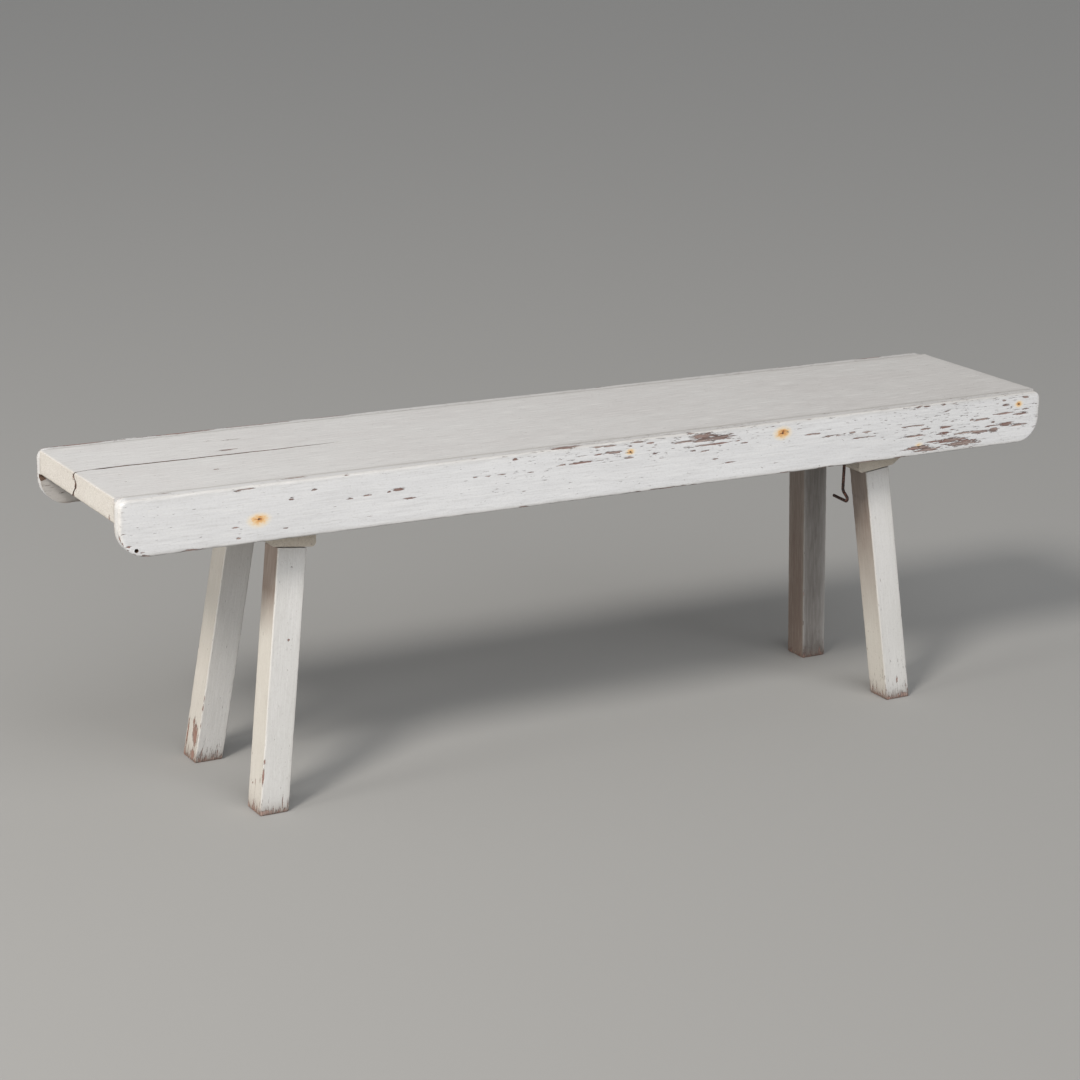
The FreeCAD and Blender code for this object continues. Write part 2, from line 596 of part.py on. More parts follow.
def make_nail_set(label, pattern, places, outer_side):
    """Copies of the nail driven in through one rail. outer_side is -1 for the front rail."""
    links = []
    for count, (out, up) in enumerate(places):
        link = doc.addObject("App::Link", f"{label}_{count}")
        link.LinkedObject = pattern
        place = f"vector({out}; {outer_side} * {HALF_DEPTH}; {up})"
        turn = f"rotation(vector(1; 0; 0); {outer_side * 90})"
        link.setExpression("Placement", f"placement({place}; {turn})")
        links.append(link)
    nails = doc.addObject("Part::Compound", label)
    nails.Label = label
    nails.Links = links
    return nails


pattern_nail = make_nail()
front_seat_places, front_bearer_places = nail_places(-1)
nail_sets = [
    make_nail_set("front_seat_nails", pattern_nail, front_seat_places, -1),
    make_nail_set("rear_seat_nails", pattern_nail, front_seat_places, 1),
    make_nail_set("front_bearer_nails", pattern_nail, front_bearer_places, -1),
    make_nail_set("rear_bearer_nails", pattern_nail, front_bearer_places, 1),
]


def spot(across, up):
    return FreeCAD.Vector(across, up, 0)


def ring_bend(middle, radius, neck_radius, shank_way):
    """The two arcs of a wire's ring and neck, and the point where the straight shank starts.
    The ring is round middle, and the shank leaves it up or down as shank_way is 1 or -1."""
    rise = math.sqrt(radius ** 2 + 2 * radius * neck_radius)
    meeting = math.atan2(rise, neck_radius)
    loop_end = 2 * math.pi - math.radians(LOOP_END_DEGREES)

    def on_ring(angle):
        return spot(radius * math.cos(angle), middle + shank_way * radius * math.sin(angle))

    neck_height = middle + shank_way * rise
    half_neck = (math.pi - meeting) / 2 + meeting
    neck_middle = spot(
        neck_radius + neck_radius * math.cos(half_neck),
        neck_height - shank_way * neck_radius * math.sin(half_neck),
    )
    far_side = (meeting + loop_end) / 2 - math.pi
    ring = Part.Arc(on_ring(loop_end), on_ring(far_side), on_ring(meeting))
    shank_start = spot(0, neck_height)
    neck = Part.Arc(on_ring(meeting), neck_middle, shank_start)
    return [ring, neck], shank_start


def rounded_run(points, radii):
    """Straight runs through points, with an arc of the given radius at each inner point."""
    pieces = []
    start = points[0]
    for before, corner, after, radius in zip(points, points[1:], points[2:], radii):
        to_before = (before - corner).normalize()
        to_after = (after - corner).normalize()
        half_angle = to_before.getAngle(to_after) / 2
        reach = radius / math.tan(half_angle)
        middle_way = (to_before + to_after).normalize()
        apex = corner + middle_way * (radius / math.sin(half_angle) - radius)
        arc_start = corner + to_before * reach
        arc_end = corner + to_after * reach
        pieces.append(Part.LineSegment(start, arc_start))
        pieces.append(Part.Arc(arc_start, apex, arc_end))
        start = arc_end
    pieces.append(Part.LineSegment(start, points[-1]))
    return pieces


def bend_wire(body, role, route, wire_diameter):
    """A round wire along a route of tangent lines and arcs, checked by its volume."""
    path = new_sketch(body, "route", role)
    for piece in route:
        path.addGeometry(piece, False)
    for step in range(len(route)):
        path.addConstraint(Sketcher.Constraint("Block", step))
    doc.recompute()
    section = body.newObject("Sketcher::SketchObject", f"{body.Name}_wire_section")
    section.AttachmentSupport = [(path, "Edge1")]
    section.MapMode = "NormalToEdge"
    add_circle(section, "0", "0", f"{wire_diameter} / 2")
    doc.recompute()
    pipe = body.newObject("PartDesign::AdditivePipe", f"{body.Name}_wire")
    pipe.Profile = section
    pipe.Spine = (path, [f"Edge{count + 1}" for count in range(len(route))])
    doc.recompute()
    length = sum(piece.length() for piece in route)
    expected = math.pi * (number(wire_diameter) / 2) ** 2 * length
    if not math.isclose(pipe.Shape.Volume, expected, rel_tol=VOLUME_TOLERANCE):
        raise RuntimeError(f"{body.Label}: the wire's volume is off")
    return length


# The screw eye's ring faces along the bench, and the hook's loop hangs through it
pivot_placement = f"placement(vector({HOOK_OUT}; {HOOK_Y}; {PIVOT_HEIGHT}); {NO_TURN})"
hook_eye = new_body("hook_eye", pivot_placement)
eye_bends, eye_shank_start = ring_bend(
    number("Sizes.eye_radius"), number("Sizes.eye_radius"), number("Sizes.eye_neck_radius"), 1
)
eye_top = spot(0, number(f"{SEAT_UNDERSIDE} + Sizes.eye_thread - {PIVOT_HEIGHT}"))
bend_wire(hook_eye, "XZ_Plane", eye_bends + [Part.LineSegment(eye_shank_start, eye_top)], "Sizes.eye_wire")

wire_hook = new_body("wire_hook", pivot_placement)
loop_middle = number("Sizes.hook_wire / 2 + Sizes.eye_wire / 2 + Sizes.hook_play - Sizes.hook_loop_radius")
hook_bends, hook_shank_start = ring_bend(
    loop_middle, number("Sizes.hook_loop_radius"), number("Sizes.hook_neck_radius"), -1
)
hook_points = [
    hook_shank_start,
    spot(0, number("-Sizes.hook_shank")),
    spot(number("-Sizes.hook_kick"), number("-Sizes.hook_depth")),
    spot(number("Sizes.hook_reach"), number("Sizes.hook_finger_rise - Sizes.hook_depth")),
]
hook_radii = [number("Sizes.hook_kink_radius"), number("Sizes.hook_turn_radius")]
hook_length = bend_wire(
    wire_hook, "YZ_Plane", hook_bends + rounded_run(hook_points, hook_radii), "Sizes.hook_wire"
)
finger_tip = FreeCAD.Vector(0, hook_points[-1].x, hook_points[-1].y)
round_edges(
    wire_hook,
    "tip_round",
    "Sizes.hook_tip_round",
    lambda edge: (edge.CenterOfMass - finger_tip).Length < number("Sizes.hook_tip_round / 2"),
)

doc.recompute()
faults = [item.Name for item in doc.Objects if {"Invalid", "Error"} & set(item.State)]
if faults:
    raise RuntimeError(f"these objects failed: {faults}")
nodes = [item for item in doc.Objects if item.TypeId == "PartDesign::Body"] + nail_sets
for node in nodes:
    if node.Shape.isNull() or not node.Shape.isValid():
        raise RuntimeError(f"{node.Label} has no valid shape")

os.makedirs("parts", exist_ok=True)
for node in nodes:
    node.Shape.exportStep(f"parts/{node.Label}.step")
    print(f"{node.Label}: {len(node.Shape.Solids)} solids, {node.Shape.Volume:.1f} cubic mm")
print(f"hook wire: {hook_length:.1f} mm long")
pivot = (number(HOOK_OUT), number(HOOK_Y), number(PIVOT_HEIGHT))
print("hook pivot:", " ".join(f"{value:.3f}" for value in pivot))
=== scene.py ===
# A long bench in worn white oil paint. The script dresses it piece by piece, in the order in which
# it is put together: bearers, legs, wedges, seat, rails, nails, screw eye and hook. The floor, the
# light and the camera come last. Sizes are in millimetres where a name ends in MM.
import json
import math

import bmesh
import bpy
import numpy as np
from mathutils import Matrix, Vector


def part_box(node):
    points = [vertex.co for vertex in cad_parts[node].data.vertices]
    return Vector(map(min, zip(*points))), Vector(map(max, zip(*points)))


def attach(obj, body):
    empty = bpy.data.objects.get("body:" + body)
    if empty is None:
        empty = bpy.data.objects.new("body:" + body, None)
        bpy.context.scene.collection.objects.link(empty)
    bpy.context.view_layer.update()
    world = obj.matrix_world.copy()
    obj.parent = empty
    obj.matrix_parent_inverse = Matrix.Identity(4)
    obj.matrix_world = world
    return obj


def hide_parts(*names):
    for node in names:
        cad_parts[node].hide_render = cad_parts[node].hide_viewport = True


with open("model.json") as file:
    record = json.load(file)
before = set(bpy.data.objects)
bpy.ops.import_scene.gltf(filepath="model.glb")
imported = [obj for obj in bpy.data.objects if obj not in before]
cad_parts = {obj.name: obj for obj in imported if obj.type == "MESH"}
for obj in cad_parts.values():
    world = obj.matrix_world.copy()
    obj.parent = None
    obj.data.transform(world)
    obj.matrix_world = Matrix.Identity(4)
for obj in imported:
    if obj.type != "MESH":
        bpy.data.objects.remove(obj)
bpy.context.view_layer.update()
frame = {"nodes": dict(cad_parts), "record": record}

# The bearers. Two stout cross pieces of pine run from rail to rail under the seat. Each has a
# dovetail tongue on top, two leaning round mortises for the legs, and a slanted underside that was
# planed square to them. They were brushed over thinly with the same white paint as the rest.
MM = 0.001
BEARER_PITCH_MM = 4.0
SOUND_SKIN_MM = 1.0  # how far from a joint the weather stops
TENON_MM = 25.0
SPLAY_ALONG = math.radians(6.65)
SPLAY_ACROSS = math.radians(5.12)
CREASE = math.radians(35)
ENDS = (("left", -1), ("right", 1))


def linear(hex_colour):
    """The linear RGBA of an sRGB colour such as #D8D6D0."""
    channels = [int(hex_colour[place:place + 2], 16) / 255 for place in (1, 3, 5)]
    return [c / 12.92 if c <= 0.04045 else ((c + 0.055) / 1.055) ** 2.4 for c in channels] + [1.0]


def add_node(tree, kind, inputs=None, result=0, **settings):
    """Adds a node and gives its result. Each input is a plain value, or the socket it is joined to."""
    node = tree.nodes.new(kind)
    for name, value in settings.items():
        setattr(node, name, value)
    for name, value in (inputs or {}).items():
        if isinstance(value, bpy.types.NodeSocket):
            tree.links.new(value, node.inputs[name])
        else:
            node.inputs[name].default_value = value
    return node.outputs[result] if len(node.outputs) else None


def box_mm(node):
    """The lowest and the highest corner of a CAD piece, in millimetres."""
    low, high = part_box(node)
    return np.array(low) / MM, np.array(high) / MM


def put_in_scene(name, data):
    """An object with the given mesh, light or camera."""
    thing = bpy.data.objects.new(name, data)
    bpy.context.scene.collection.objects.link(thing)
    return thing


def points_of(piece):
    """A piece's points in millimetres."""
    flat = np.empty(len(piece.data.vertices) * 3)
    piece.data.vertices.foreach_get("co", flat)
    return flat.reshape(-1, 3) / MM


def settle(piece):
    """Gives a piece the plain mesh that its modifiers make, and takes them off."""
    bpy.context.view_layer.update()
    graph = bpy.context.evaluated_depsgraph_get()
    mesh = bpy.data.meshes.new_from_object(piece.evaluated_get(graph), depsgraph=graph)
    piece.modifiers.clear()
    piece.data = mesh
    mesh.name = piece.name


def sliced_copy(name, node, pitch_mm):
    """A merged copy of a CAD piece, sliced into small cells so that its surface can be worn."""
    form = bmesh.new()
    form.from_mesh(frame["nodes"][node].data)
    bmesh.ops.remove_doubles(form, verts=form.verts, dist=1e-6)
    bmesh.ops.dissolve_limit(form, angle_limit=math.radians(0.5), verts=form.verts, edges=form.edges)
    low, high = box_mm(node)
    for axis in range(3):
        normal = [1.0 if row == axis else 0.0 for row in range(3)]
        for place in np.arange(low[axis] + pitch_mm, high[axis], pitch_mm):
            everything = form.verts[:] + form.edges[:] + form.faces[:]
            spot = [place * MM * part for part in normal]
            bmesh.ops.bisect_plane(form, geom=everything, dist=1e-7, plane_co=spot, plane_no=normal)
    bmesh.ops.triangulate(form, faces=[face for face in form.faces if len(face.verts) > 4])
    mesh = bpy.data.meshes.new(name)
    form.to_mesh(mesh)
    form.free()
    return put_in_scene(name, mesh)


def leg_frame(out, back):
    """The middle of a leg's foot, and the turn from the leg's own frame, with Z up its axis."""
    words = ("rear" if back > 0 else "front", "right" if out > 0 else "left")
    mount = next(m for m in frame["record"]["mounts"] if m["name"] == f"{words[0]}_{words[1]}_foot")
    axis = Vector((-out * math.tan(SPLAY_ALONG), -back * math.tan(SPLAY_ACROSS), 1)).normalized()
    turn = np.array(Vector((0, 0, 1)).rotation_difference(axis).to_matrix())
    return np.array(mount["pos_m"]) / MM, turn


def edge_distance(points, low, high):
    """How far each point on a board is from the nearest of the board's edges."""
    insets = np.minimum(points - low, high - points)
    return np.sort(insets, axis=1)[:, 1]


# Old oil paint comes off pine in long flakes that follow the grain. These are the sizes of the
# flakes and crumbs, and how hard the ragged noise of each pulls at a paint that has wear from 0,
# sound, to 1, gone. The paint is off where wear and pull come to the flake point.
FLAKE_SIZE_MM = (18.0, 1.7, 1.7)
CRUMB_SIZE_MM = (7.0, 0.8, 0.8)
FLAKE_PULL = 0.8
CRUMB_PULL = 0.5
FLAKE_POINT = 0.92
FLAKE_RIM = 0.012


MARKS = ("wear", "ridge", "rust", "grime", "shelter", "yellowing", "use")


def mark_wear(piece, grain, **marks):
    """Writes down how a piece has aged. grain is each point's place in millimetres with the first
    number along the grain; wear is how much paint went there, ridge how near an edge it is, rust how
    stained, grime how dirty and how dark with painted shade, yellowing how
    yellowed and how warm with painted warm light, use how greyed by sitting and how
    dark with painted shade that deepens to the right, and shelter how far a joint keeps it from harm,
    all 0 to 1."""
    vectors = piece.data.attributes.new("grain", "FLOAT_VECTOR", "POINT")
    vectors.data.foreach_set("vector", np.ascontiguousarray(grain, np.float32).ravel())
    for name in MARKS:
        values = np.broadcast_to(np.asarray(marks.get(name, 0.0), np.float32), len(grain))
        attribute = piece.data.attributes.new(name, "FLOAT", "POINT")
        attribute.data.foreach_set("value", np.ascontiguousarray(values))


def grain_pattern(tree, grain, size_mm, noise, **settings):
    """Noise in cells of the given size, whose first number is along the grain."""
    cells = add_node(tree, "ShaderNodeVectorMath", {0: grain, 1: size_mm}, operation="DIVIDE")
    return add_node(tree, "ShaderNodeTexNoise", {"Vector": cells, "Scale": 1.0, **noise}, **settings)


def paint_loss(tree, grain, wear):
    """Where the paint is gone, from 0 to 1, and how hard it is pulled at. The same nodes shape a
    surface and colour it."""
    pull = wear
    for size_mm, strength in ((FLAKE_SIZE_MM, FLAKE_PULL), (CRUMB_SIZE_MM, CRUMB_PULL)):
        ragged = grain_pattern(tree, grain, size_mm, {"Detail": 3.0, "Roughness": 0.6})
        pull = {0: ragged, 1: strength, 2: pull}
        pull = add_node(tree, "ShaderNodeMath", pull, operation="MULTIPLY_ADD")
    rim = {"Value": pull, "From Min": FLAKE_POINT - FLAKE_RIM, "From Max": FLAKE_POINT + FLAKE_RIM}
    return add_node(tree, "ShaderNodeMapRange", rim, interpolation_type="SMOOTHSTEP"), pull


def start_tree(name, start, *numbers, **others):
    """A tree of Geometry Nodes and the sockets of its inputs: what it starts from, its numbers,
    inputs of other kinds, and the finish."""
    tree = bpy.data.node_groups.new(name, "GeometryNodeTree")
    kinds = {start: "Geometry", **dict.fromkeys(numbers, "Float"), **others, "Finish": "Material"}
    for title, kind in kinds.items():
        tree.interface.new_socket(title, in_out="INPUT", socket_type=f"NodeSocket{kind}")
    tree.interface.new_socket("Result", in_out="OUTPUT", socket_type="NodeSocketGeometry")
    return tree, add_node(tree, "NodeGroupInput").node.outputs


def end_tree(tree, surface, depth_mm, finish):
    """Ends a tree. Its surface goes in by a depth in millimetres, is made real and gets its finish."""
    normal = add_node(tree, "GeometryNodeInputNormal")
    depth = add_node(tree, "ShaderNodeMath", {0: depth_mm, 1: -MM}, operation="MULTIPLY")
    offset = add_node(tree, "ShaderNodeVectorMath", {0: normal, "Scale": depth}, operation="SCALE")
    surface = add_node(tree, "GeometryNodeSetPosition", {"Geometry": surface, "Offset": offset})
    surface = add_node(tree, "GeometryNodeRealizeInstances", {"Geometry": surface})
    surface = add_node(tree, "GeometryNodeSetMaterial", {"Geometry": surface, "Material": finish})
    add_node(tree, "NodeGroupOutput", {0: surface})


PLANING_WAVES_MM = (150.0, 38.0, 38.0)
KNOCK_SIZE_MM = (17.0, 5.0, 5.0)
KNOCK_RANGE = (0.5, 0.72)  # from no knock to a full one, on a scale of noise


def make_weathering():
    """The tree that ages a wooden piece's shape: planed boards aren't flat, their edges are knocked,
    and where the paint has flaked the wood lies lower. All of it goes inwards from the sound form."""
    numbers = ("Unevenness", "Knocks", "Paint film", "Seed")
    tree, given = start_tree("weathered_wood", "Piece", *numbers)
    marks = {}
    for name in ("grain", "wear", "ridge", "shelter"):
        kind = "FLOAT_VECTOR" if name == "grain" else "FLOAT"
        marks[name] = add_node(tree, "GeometryNodeInputNamedAttribute", {"Name": name}, data_type=kind)
    noise = {"W": given["Seed"], "Detail": 2.0}
    waves, knocks = (
        grain_pattern(tree, marks["grain"], size_mm, noise, noise_dimensions="4D")
        for size_mm in (PLANING_WAVES_MM, KNOCK_SIZE_MM)
    )
    knocks = {"Value": knocks, "From Min": KNOCK_RANGE[0], "From Max": KNOCK_RANGE[1]}
    knocks = add_node(tree, "ShaderNodeMapRange", knocks)
    knocks = add_node(tree, "ShaderNodeMath", {0: marks["ridge"], 1: knocks}, operation="MULTIPLY")
    lost = paint_loss(tree, marks["grain"], marks["wear"])[0]
    depth = 0.0
    for name, share in (("Unevenness", waves), ("Knocks", knocks), ("Paint film", lost)):
        depth = {0: given[name], 1: share, 2: depth}
        depth = add_node(tree, "ShaderNodeMath", depth, operation="MULTIPLY_ADD")
    exposed = add_node(tree, "ShaderNodeMath", {0: 1.0, 1: marks["shelter"]}, operation="SUBTRACT")
    depth = add_node(tree, "ShaderNodeMath", {0: depth, 1: exposed}, operation="MULTIPLY")
    end_tree(tree, given["Piece"], depth, given["Finish"])
    return tree


weathering = make_weathering()


def run_tree(piece, tree, **inputs):
    """Runs a tree of Geometry Nodes on a piece with named inputs, and keeps the plain mesh."""
    modifier = piece.modifiers.new(tree.name, "NODES")
    modifier.node_group = tree
    for name, value in inputs.items():
        modifier[tree.interface.items_tree[name.replace("_", " ")].identifier] = value
    settle(piece)
    piece.data.shade_smooth()
    piece.data.set_sharp_from_angle(angle=CREASE)


def new_material(name):
    """A material with nothing in it yet, and its tree."""
    finish = bpy.data.materials.new(name)
    finish.use_nodes = True
    finish.node_tree.nodes.clear()
    return finish, finish.node_tree


def set_surface(tree, look):
    """Ends a material's tree with a surface that has the given inputs."""
    surface = add_node(tree, "ShaderNodeBsdfPrincipled", look)
    add_node(tree, "ShaderNodeOutputMaterial", {"Surface": surface})


def coat_over(tree, colour, coats):
    """A colour under coats of others, each with the share that it covers, its colour, and MULTIPLY
    where it only darkens what is under it. A colour is a hex value or a socket."""
    colour = linear(colour)
    for share, over, *way in coats:
        coat = {0: share, 6: colour, 7: linear(over) if isinstance(over, str) else over}
        way = way[0] if way else "MIX"
        colour = add_node(tree, "ShaderNodeMix", coat, result=2, data_type="RGBA", blend_type=way)
    return colour


PAINT_FILM_MM = 0.3
# Patterns in the paint and the wood: the size of their cells with the first number along the
# grain, their detail and their roughness. Brush lines are drawn 2 mm wide so that they show.
PAINT_PATTERNS = {
    "clouds": ((170.0, 50.0, 50.0), 3.0, 0.5),
    "brush lines": ((46.0, 2.0, 2.0), 3.0, 0.6),
    "hairs": ((24.0, 0.9, 0.9), 3.0, 0.6),
    "stipple": ((3.2, 2.2, 2.2), 2.0, 0.5),
    "specks": ((3.4, 1.5, 1.5), 2.0, 0.7),
    "dust": ((30.0, 3.0, 3.0), 3.0, 0.6),
    "seepage": ((6.0, 3.0, 3.0), 3.0, 0.65),
    "late wood": ((46.0, 1.3, 1.3), 3.0, 0.6),
    "red wood": ((60.0, 12.0, 12.0), 2.0, 0.5),
}
# How high each pattern stands out of the surface
RELIEF_MM = {"brush lines": 0.16, "hairs": 0.1, "stipple": 0.12}
LATE_WOOD_RELIEF_MM = 0.25
# Rust's colours from its rim to the nail, where it bleeds out: ochre, orange and brown
RUST_TONES = (
    (0.0, "#EFE3CF"),
    (0.3, "#EAD5B2"),
    (0.55, "#E0B885"),
    (0.78, "#D0965A"),
    (0.93, "#95582E"),
    (1.0, "#44291A"),
)


def worn_white_paint(name, paint, tint, streaks=0.5):
    """White oil paint on pine, brushed on by hand in several coats. It gives the eye a chalky white
    with faint brush lines along the grain, flakes down to mauve-brown wood, and rust round nails."""
    finish, tree = new_material(name)
    grain = add_node(tree, "ShaderNodeAttribute", result="Vector", attribute_name="grain")
    marks = {}
    for title in ("wear", "ridge", "rust", "grime", "yellowing", "use", "raw"):
        marks[title] = add_node(tree, "ShaderNodeAttribute", result="Fac", attribute_name=title)
    lost, pull = paint_loss(tree, grain, marks["wear"])
    bare = add_node(tree, "ShaderNodeMath", {0: lost, 1: marks["raw"]}, operation="MAXIMUM")
    patterns = {"pull": pull}
    for title, (size_mm, detail, roughness) in PAINT_PATTERNS.items():
        noise = {"Detail": detail, "Roughness": roughness}
        patterns[title] = grain_pattern(tree, grain, size_mm, noise)

    # What each pattern comes to: where on it a share starts and is full, and the share at both
    shares = {
        "second coat": ("clouds", 0.35, 0.65, 0.0, 1.0),
        "grooves": ("brush lines", 0.5, 0.28, 0.0, 0.4 * streaks),
        "crests": ("brush lines", 0.52, 0.72, 0.0, 0.6 * streaks),
        "hairs": ("hairs", 0.38, 0.26, 0.0, streaks),
        "stipple": ("stipple", 0.5, 0.3, 0.0, 0.1),
        "specks": ("specks", 0.68, 0.76, 0.0, 0.5),
        "dust": ("dust", 0.3, 0.65, 0.8, 1.0),
        "seepage": ("seepage", 0.3, 0.7, 0.55, 1.3),
        "late wood": ("late wood", 0.36, 0.62, 0.0, 1.0),
        "red wood": ("red wood", 0.46, 0.6, 0.0, 0.5),
        "flake's rim": ("pull", FLAKE_POINT, FLAKE_POINT + 0.07, 0.95, 0.0),
        "roughness": ("clouds", 0.3, 0.7, 0.48, 0.6),
    }
    ends = ("From Min", "From Max", "To Min", "To Max")
    for title, (pattern, *values) in shares.items():
        span = {"Value": patterns[pattern], **dict(zip(ends, values))}
        shares[title] = add_node(tree, "ShaderNodeMapRange", span)
    for title, one, two in (
        ("dirt_and_shade", marks["grime"], shares["dust"]),
        ("bleeding", marks["rust"], shares["seepage"]),
        ("warm wood", marks["yellowing"], 0.4),
        ("bare relief", bare, patterns["late wood"]),
    ):
        shares[title] = add_node(tree, "ShaderNodeMath", {0: one, 1: two}, operation="MULTIPLY")
    stained = {"Value": shares["bleeding"], "From Min": 0.02, "From Max": 0.5}
    stained = add_node(tree, "ShaderNodeMapRange", stained)
    stain = add_node(tree, "ShaderNodeValToRGB", {0: shares["bleeding"]})
    tones = stain.node.color_ramp.elements
    for place, _ in RUST_TONES[1:-1]:
        tones.new(place)
    for tone, (place, hue) in zip(tones, RUST_TONES):
        tone.color = linear(hue)

    # Cloudy coats and brush lines, then grey-brown soiling in corners and near the floor, and painted
    # shade under the seat and on shaded faces, rust round the nails, weathered wood that is darkest at a
    # flake's rim, and fresh wood where a hole was cut
    # Painted shade takes the same grey-brown as the soiling, warmer where warm light is painted
    dirt_and_shade = coat_over(tree, "#75716E", [(marks["yellowing"], "#7C6C62")])
    old_wood = [
        (shares["late wood"], "#695853"),
        (shares["red wood"], "#80564B"),
        (shares["warm wood"], "#8F6A55"),
        # The dark at a flake's rim is painted shade of the lifted paint's edge, with soil caught there
        (shares["flake's rim"], "#3A3130"),
    ]
    coats = [
        (shares["second coat"], tint),
        # A warm cream: partly yellowed oil paint, partly painted warm light on faces turned from the front
        (marks["yellowing"], "#F4EFE6", "MULTIPLY"),
        # Edges a touch darker: grime, and painted shade that tones down their highlight
        (marks["ridge"], "#ECEAE6", "MULTIPLY"),
        # Greyed by sitting, and painted shade that deepens along the top towards the right end
        (marks["use"], "#DCD9D6", "MULTIPLY"),
        (shares["grooves"], "#9A9794"),
        (shares["crests"], "#F2F1EF"),
        (shares["hairs"], "#8A8480"),
        (shares["stipple"], "#8A8178"),
        (shares["specks"], "#7A6E66"),
        (shares["dirt_and_shade"], dirt_and_shade),
        (stained, stain),
        (lost, coat_over(tree, "#AE9C95", old_wood)),
        (marks["raw"], coat_over(tree, "#6E5645", [(shares["late wood"], "#45342A")])),
    ]
    colour = coat_over(tree, paint, coats)

    film = add_node(tree, "ShaderNodeMath", {0: 1.0, 1: bare}, operation="SUBTRACT")
    layers = [(film, PAINT_FILM_MM), (shares["bare relief"], LATE_WOOD_RELIEF_MM)]
    layers += [(patterns[title], height) for title, height in RELIEF_MM.items()]
    relief = 0.0
    for layer, height in layers:
        relief = {0: layer, 1: height, 2: relief}
        relief = add_node(tree, "ShaderNodeMath", relief, operation="MULTIPLY_ADD")
    bump = add_node(tree, "ShaderNodeBump", {"Strength": 1.0, "Distance": MM, "Height": relief})
    gloss = {0: bare, 1: 0.3, 2: shares["roughness"]}
    gloss = add_node(tree, "ShaderNodeMath", gloss, operation="MULTIPLY_ADD")
    set_surface(tree, {"Base Color": colour, "Roughness": gloss, "IOR": 1.5, "Normal": bump})
    return finish


UNEVENNESS_MM = 0.35


def dress(piece, node, finish, seed, knocks=0.7, film=PAINT_FILM_MM):
    """Ages a wooden piece and puts it in its CAD node's place."""
    sizes = {"Unevenness": UNEVENNESS_MM, "Knocks": knocks, "Paint_film": film}
    run_tree(piece, weathering, Seed=seed, Finish=finish, **sizes)
    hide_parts(node)
    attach(piece, "bench")


bearer_paint = worn_white_paint("thin_white_oil_paint_on_pine", "#EBE6DC", "#DFD8CC")
seat_underside = box_mm("seat_plank")[0][2]
for (end_word, out), seed in zip(ENDS, (3.0, 8.0)):
    node_name = f"{end_word}_bearer"
    bearer = sliced_copy(f"worn_{node_name}", node_name, BEARER_PITCH_MM)
    low, high = box_mm(node_name)
    place = points_of(bearer)
    hidden = np.clip((place[:, 2] - seat_underside + SOUND_SKIN_MM) / SOUND_SKIN_MM, 0, 1)
    for back in (-1, 1):
        foot, turn = leg_frame(out, back)
        from_axis = np.linalg.norm(((place - foot) @ turn)[:, :2], axis=1)
        hidden = np.maximum(hidden, np.clip(TENON_MM / 2 + 2 * SOUND_SKIN_MM - from_axis, 0, 1))
    mark_wear(
        bearer,
        place[:, [1, 0, 2]] + 100 * seed,
        wear=0.1,
        ridge=np.exp(-edge_distance(place, low, high) / 4),
        grime=0.3,
        shelter=hidden,
        yellowing=0.7,
    )
    dress(bearer, node_name, bearer_paint, seed)

# The legs. Four squared lengths of pine lean outwards both ways. The foot is sawn level, and the
# top is shaved to a round tenon and kerfed for its wedge. Years of mops and boots have taken the
# paint off the feet and bruised the edges.
LEG_SIDE_MM = 40.0
ROWS = (("front", -1), ("rear", 1))
LEG_ARRIS_MM = 1.6
FOOT_ARRIS_MM = 2.0
KERF_DEPTH_MM = 34.15
KERF_MM = (1.3, 4.3)  # its width at the wedge's tip and at its head
SHOULDER_LIFT_MM = 1.1  # the gap under a bearer is partly filled with old paint
SIDE_STEPS = 26
ARRIS_STEPS = 4
RING_PITCH_MM = 3.0
# Bruises in a leg's own frame: middle and half sizes along the bench, across it and up the leg
LEG_SPOTS = {
    "front_left_leg": (
        (-20, -20, 48, 2.6, 2.6, 13),
        (-19, -20, 67, 1.4, 1.4, 4),
        (-20, -12, 41, 3.0, 0.9, 5),
        (-20, 1, 37, 3.0, 0.8, 4),
        (-20, 9, 33, 3.0, 1.3, 2),
        (10, -20, 16, 0.7, 3.0, 9),
        (1, -20, 316, 2.4, 2.0, 1.0),
        (3, -20, 224, 2.4, 2.0, 1.2),
        (-16, -20, 2, 14.0, 4.0, 2),
    ),
    "rear_left_leg": (
        (-20, -8, 36, 3.0, 7.5, 15),
        (-20, 0, 50, 3.0, 2.2, 9),
        (-20, 15, 30, 3.0, 2.2, 18),
        (-20, -8, 8, 3.0, 7.0, 6),
        (-20, -20, 78, 1.5, 1.5, 4),
        (-20, -20, 52, 1.3, 1.3, 3),
        (-20, -20, 92, 1.1, 1.1, 6),
        (-12, -20, 14, 0.8, 3.0, 7),
    ),
    "front_right_leg": (
        (1, -20, 27, 1.0, 3.0, 3),
        (-14, -20, 2, 8.0, 4.0, 3),
        (-20, 8, 3, 4.0, 9.0, 3),
        (12, -20, 2, 5.0, 4.0, 2),
        (20, -20, 120, 1.2, 1.2, 8),
    ),
    "rear_right_leg": (
        (-20, -20, 60, 1.2, 1.2, 7),
        (-20, -20, 110, 1.1, 1.1, 5),
        (-12, -20, 3, 8.0, 4.0, 3),
        (20, 20, 40, 3.0, 3.0, 12),
    ),
}
# Painted shade on each leg: how dark it is painted all over where the seat shades it, how dark its
# turned faces are painted with the seat's shadow, and how far below the shoulder that painted shadow
# is at its full and has faded out
LEG_PAINTED_SHADE = {
    "front_left_leg": (0.0, 1.0, 55, 118),
    "rear_left_leg": (0.08, 0.0, 60, 120),
    "front_right_leg": (0.0, 0.92, 70, 240),
    "rear_right_leg": (0.97, 0.0, 60, 120),
}


def make_piece(name, points_mm, faces, edges=()):
    """A piece from points and outward faces, put in the scene."""
    mesh = bpy.data.meshes.new(name)
    mesh.from_pydata((np.asarray(points_mm) * MM).tolist(), list(edges), faces)
    mesh.validate()
    return put_in_scene(name, mesh)


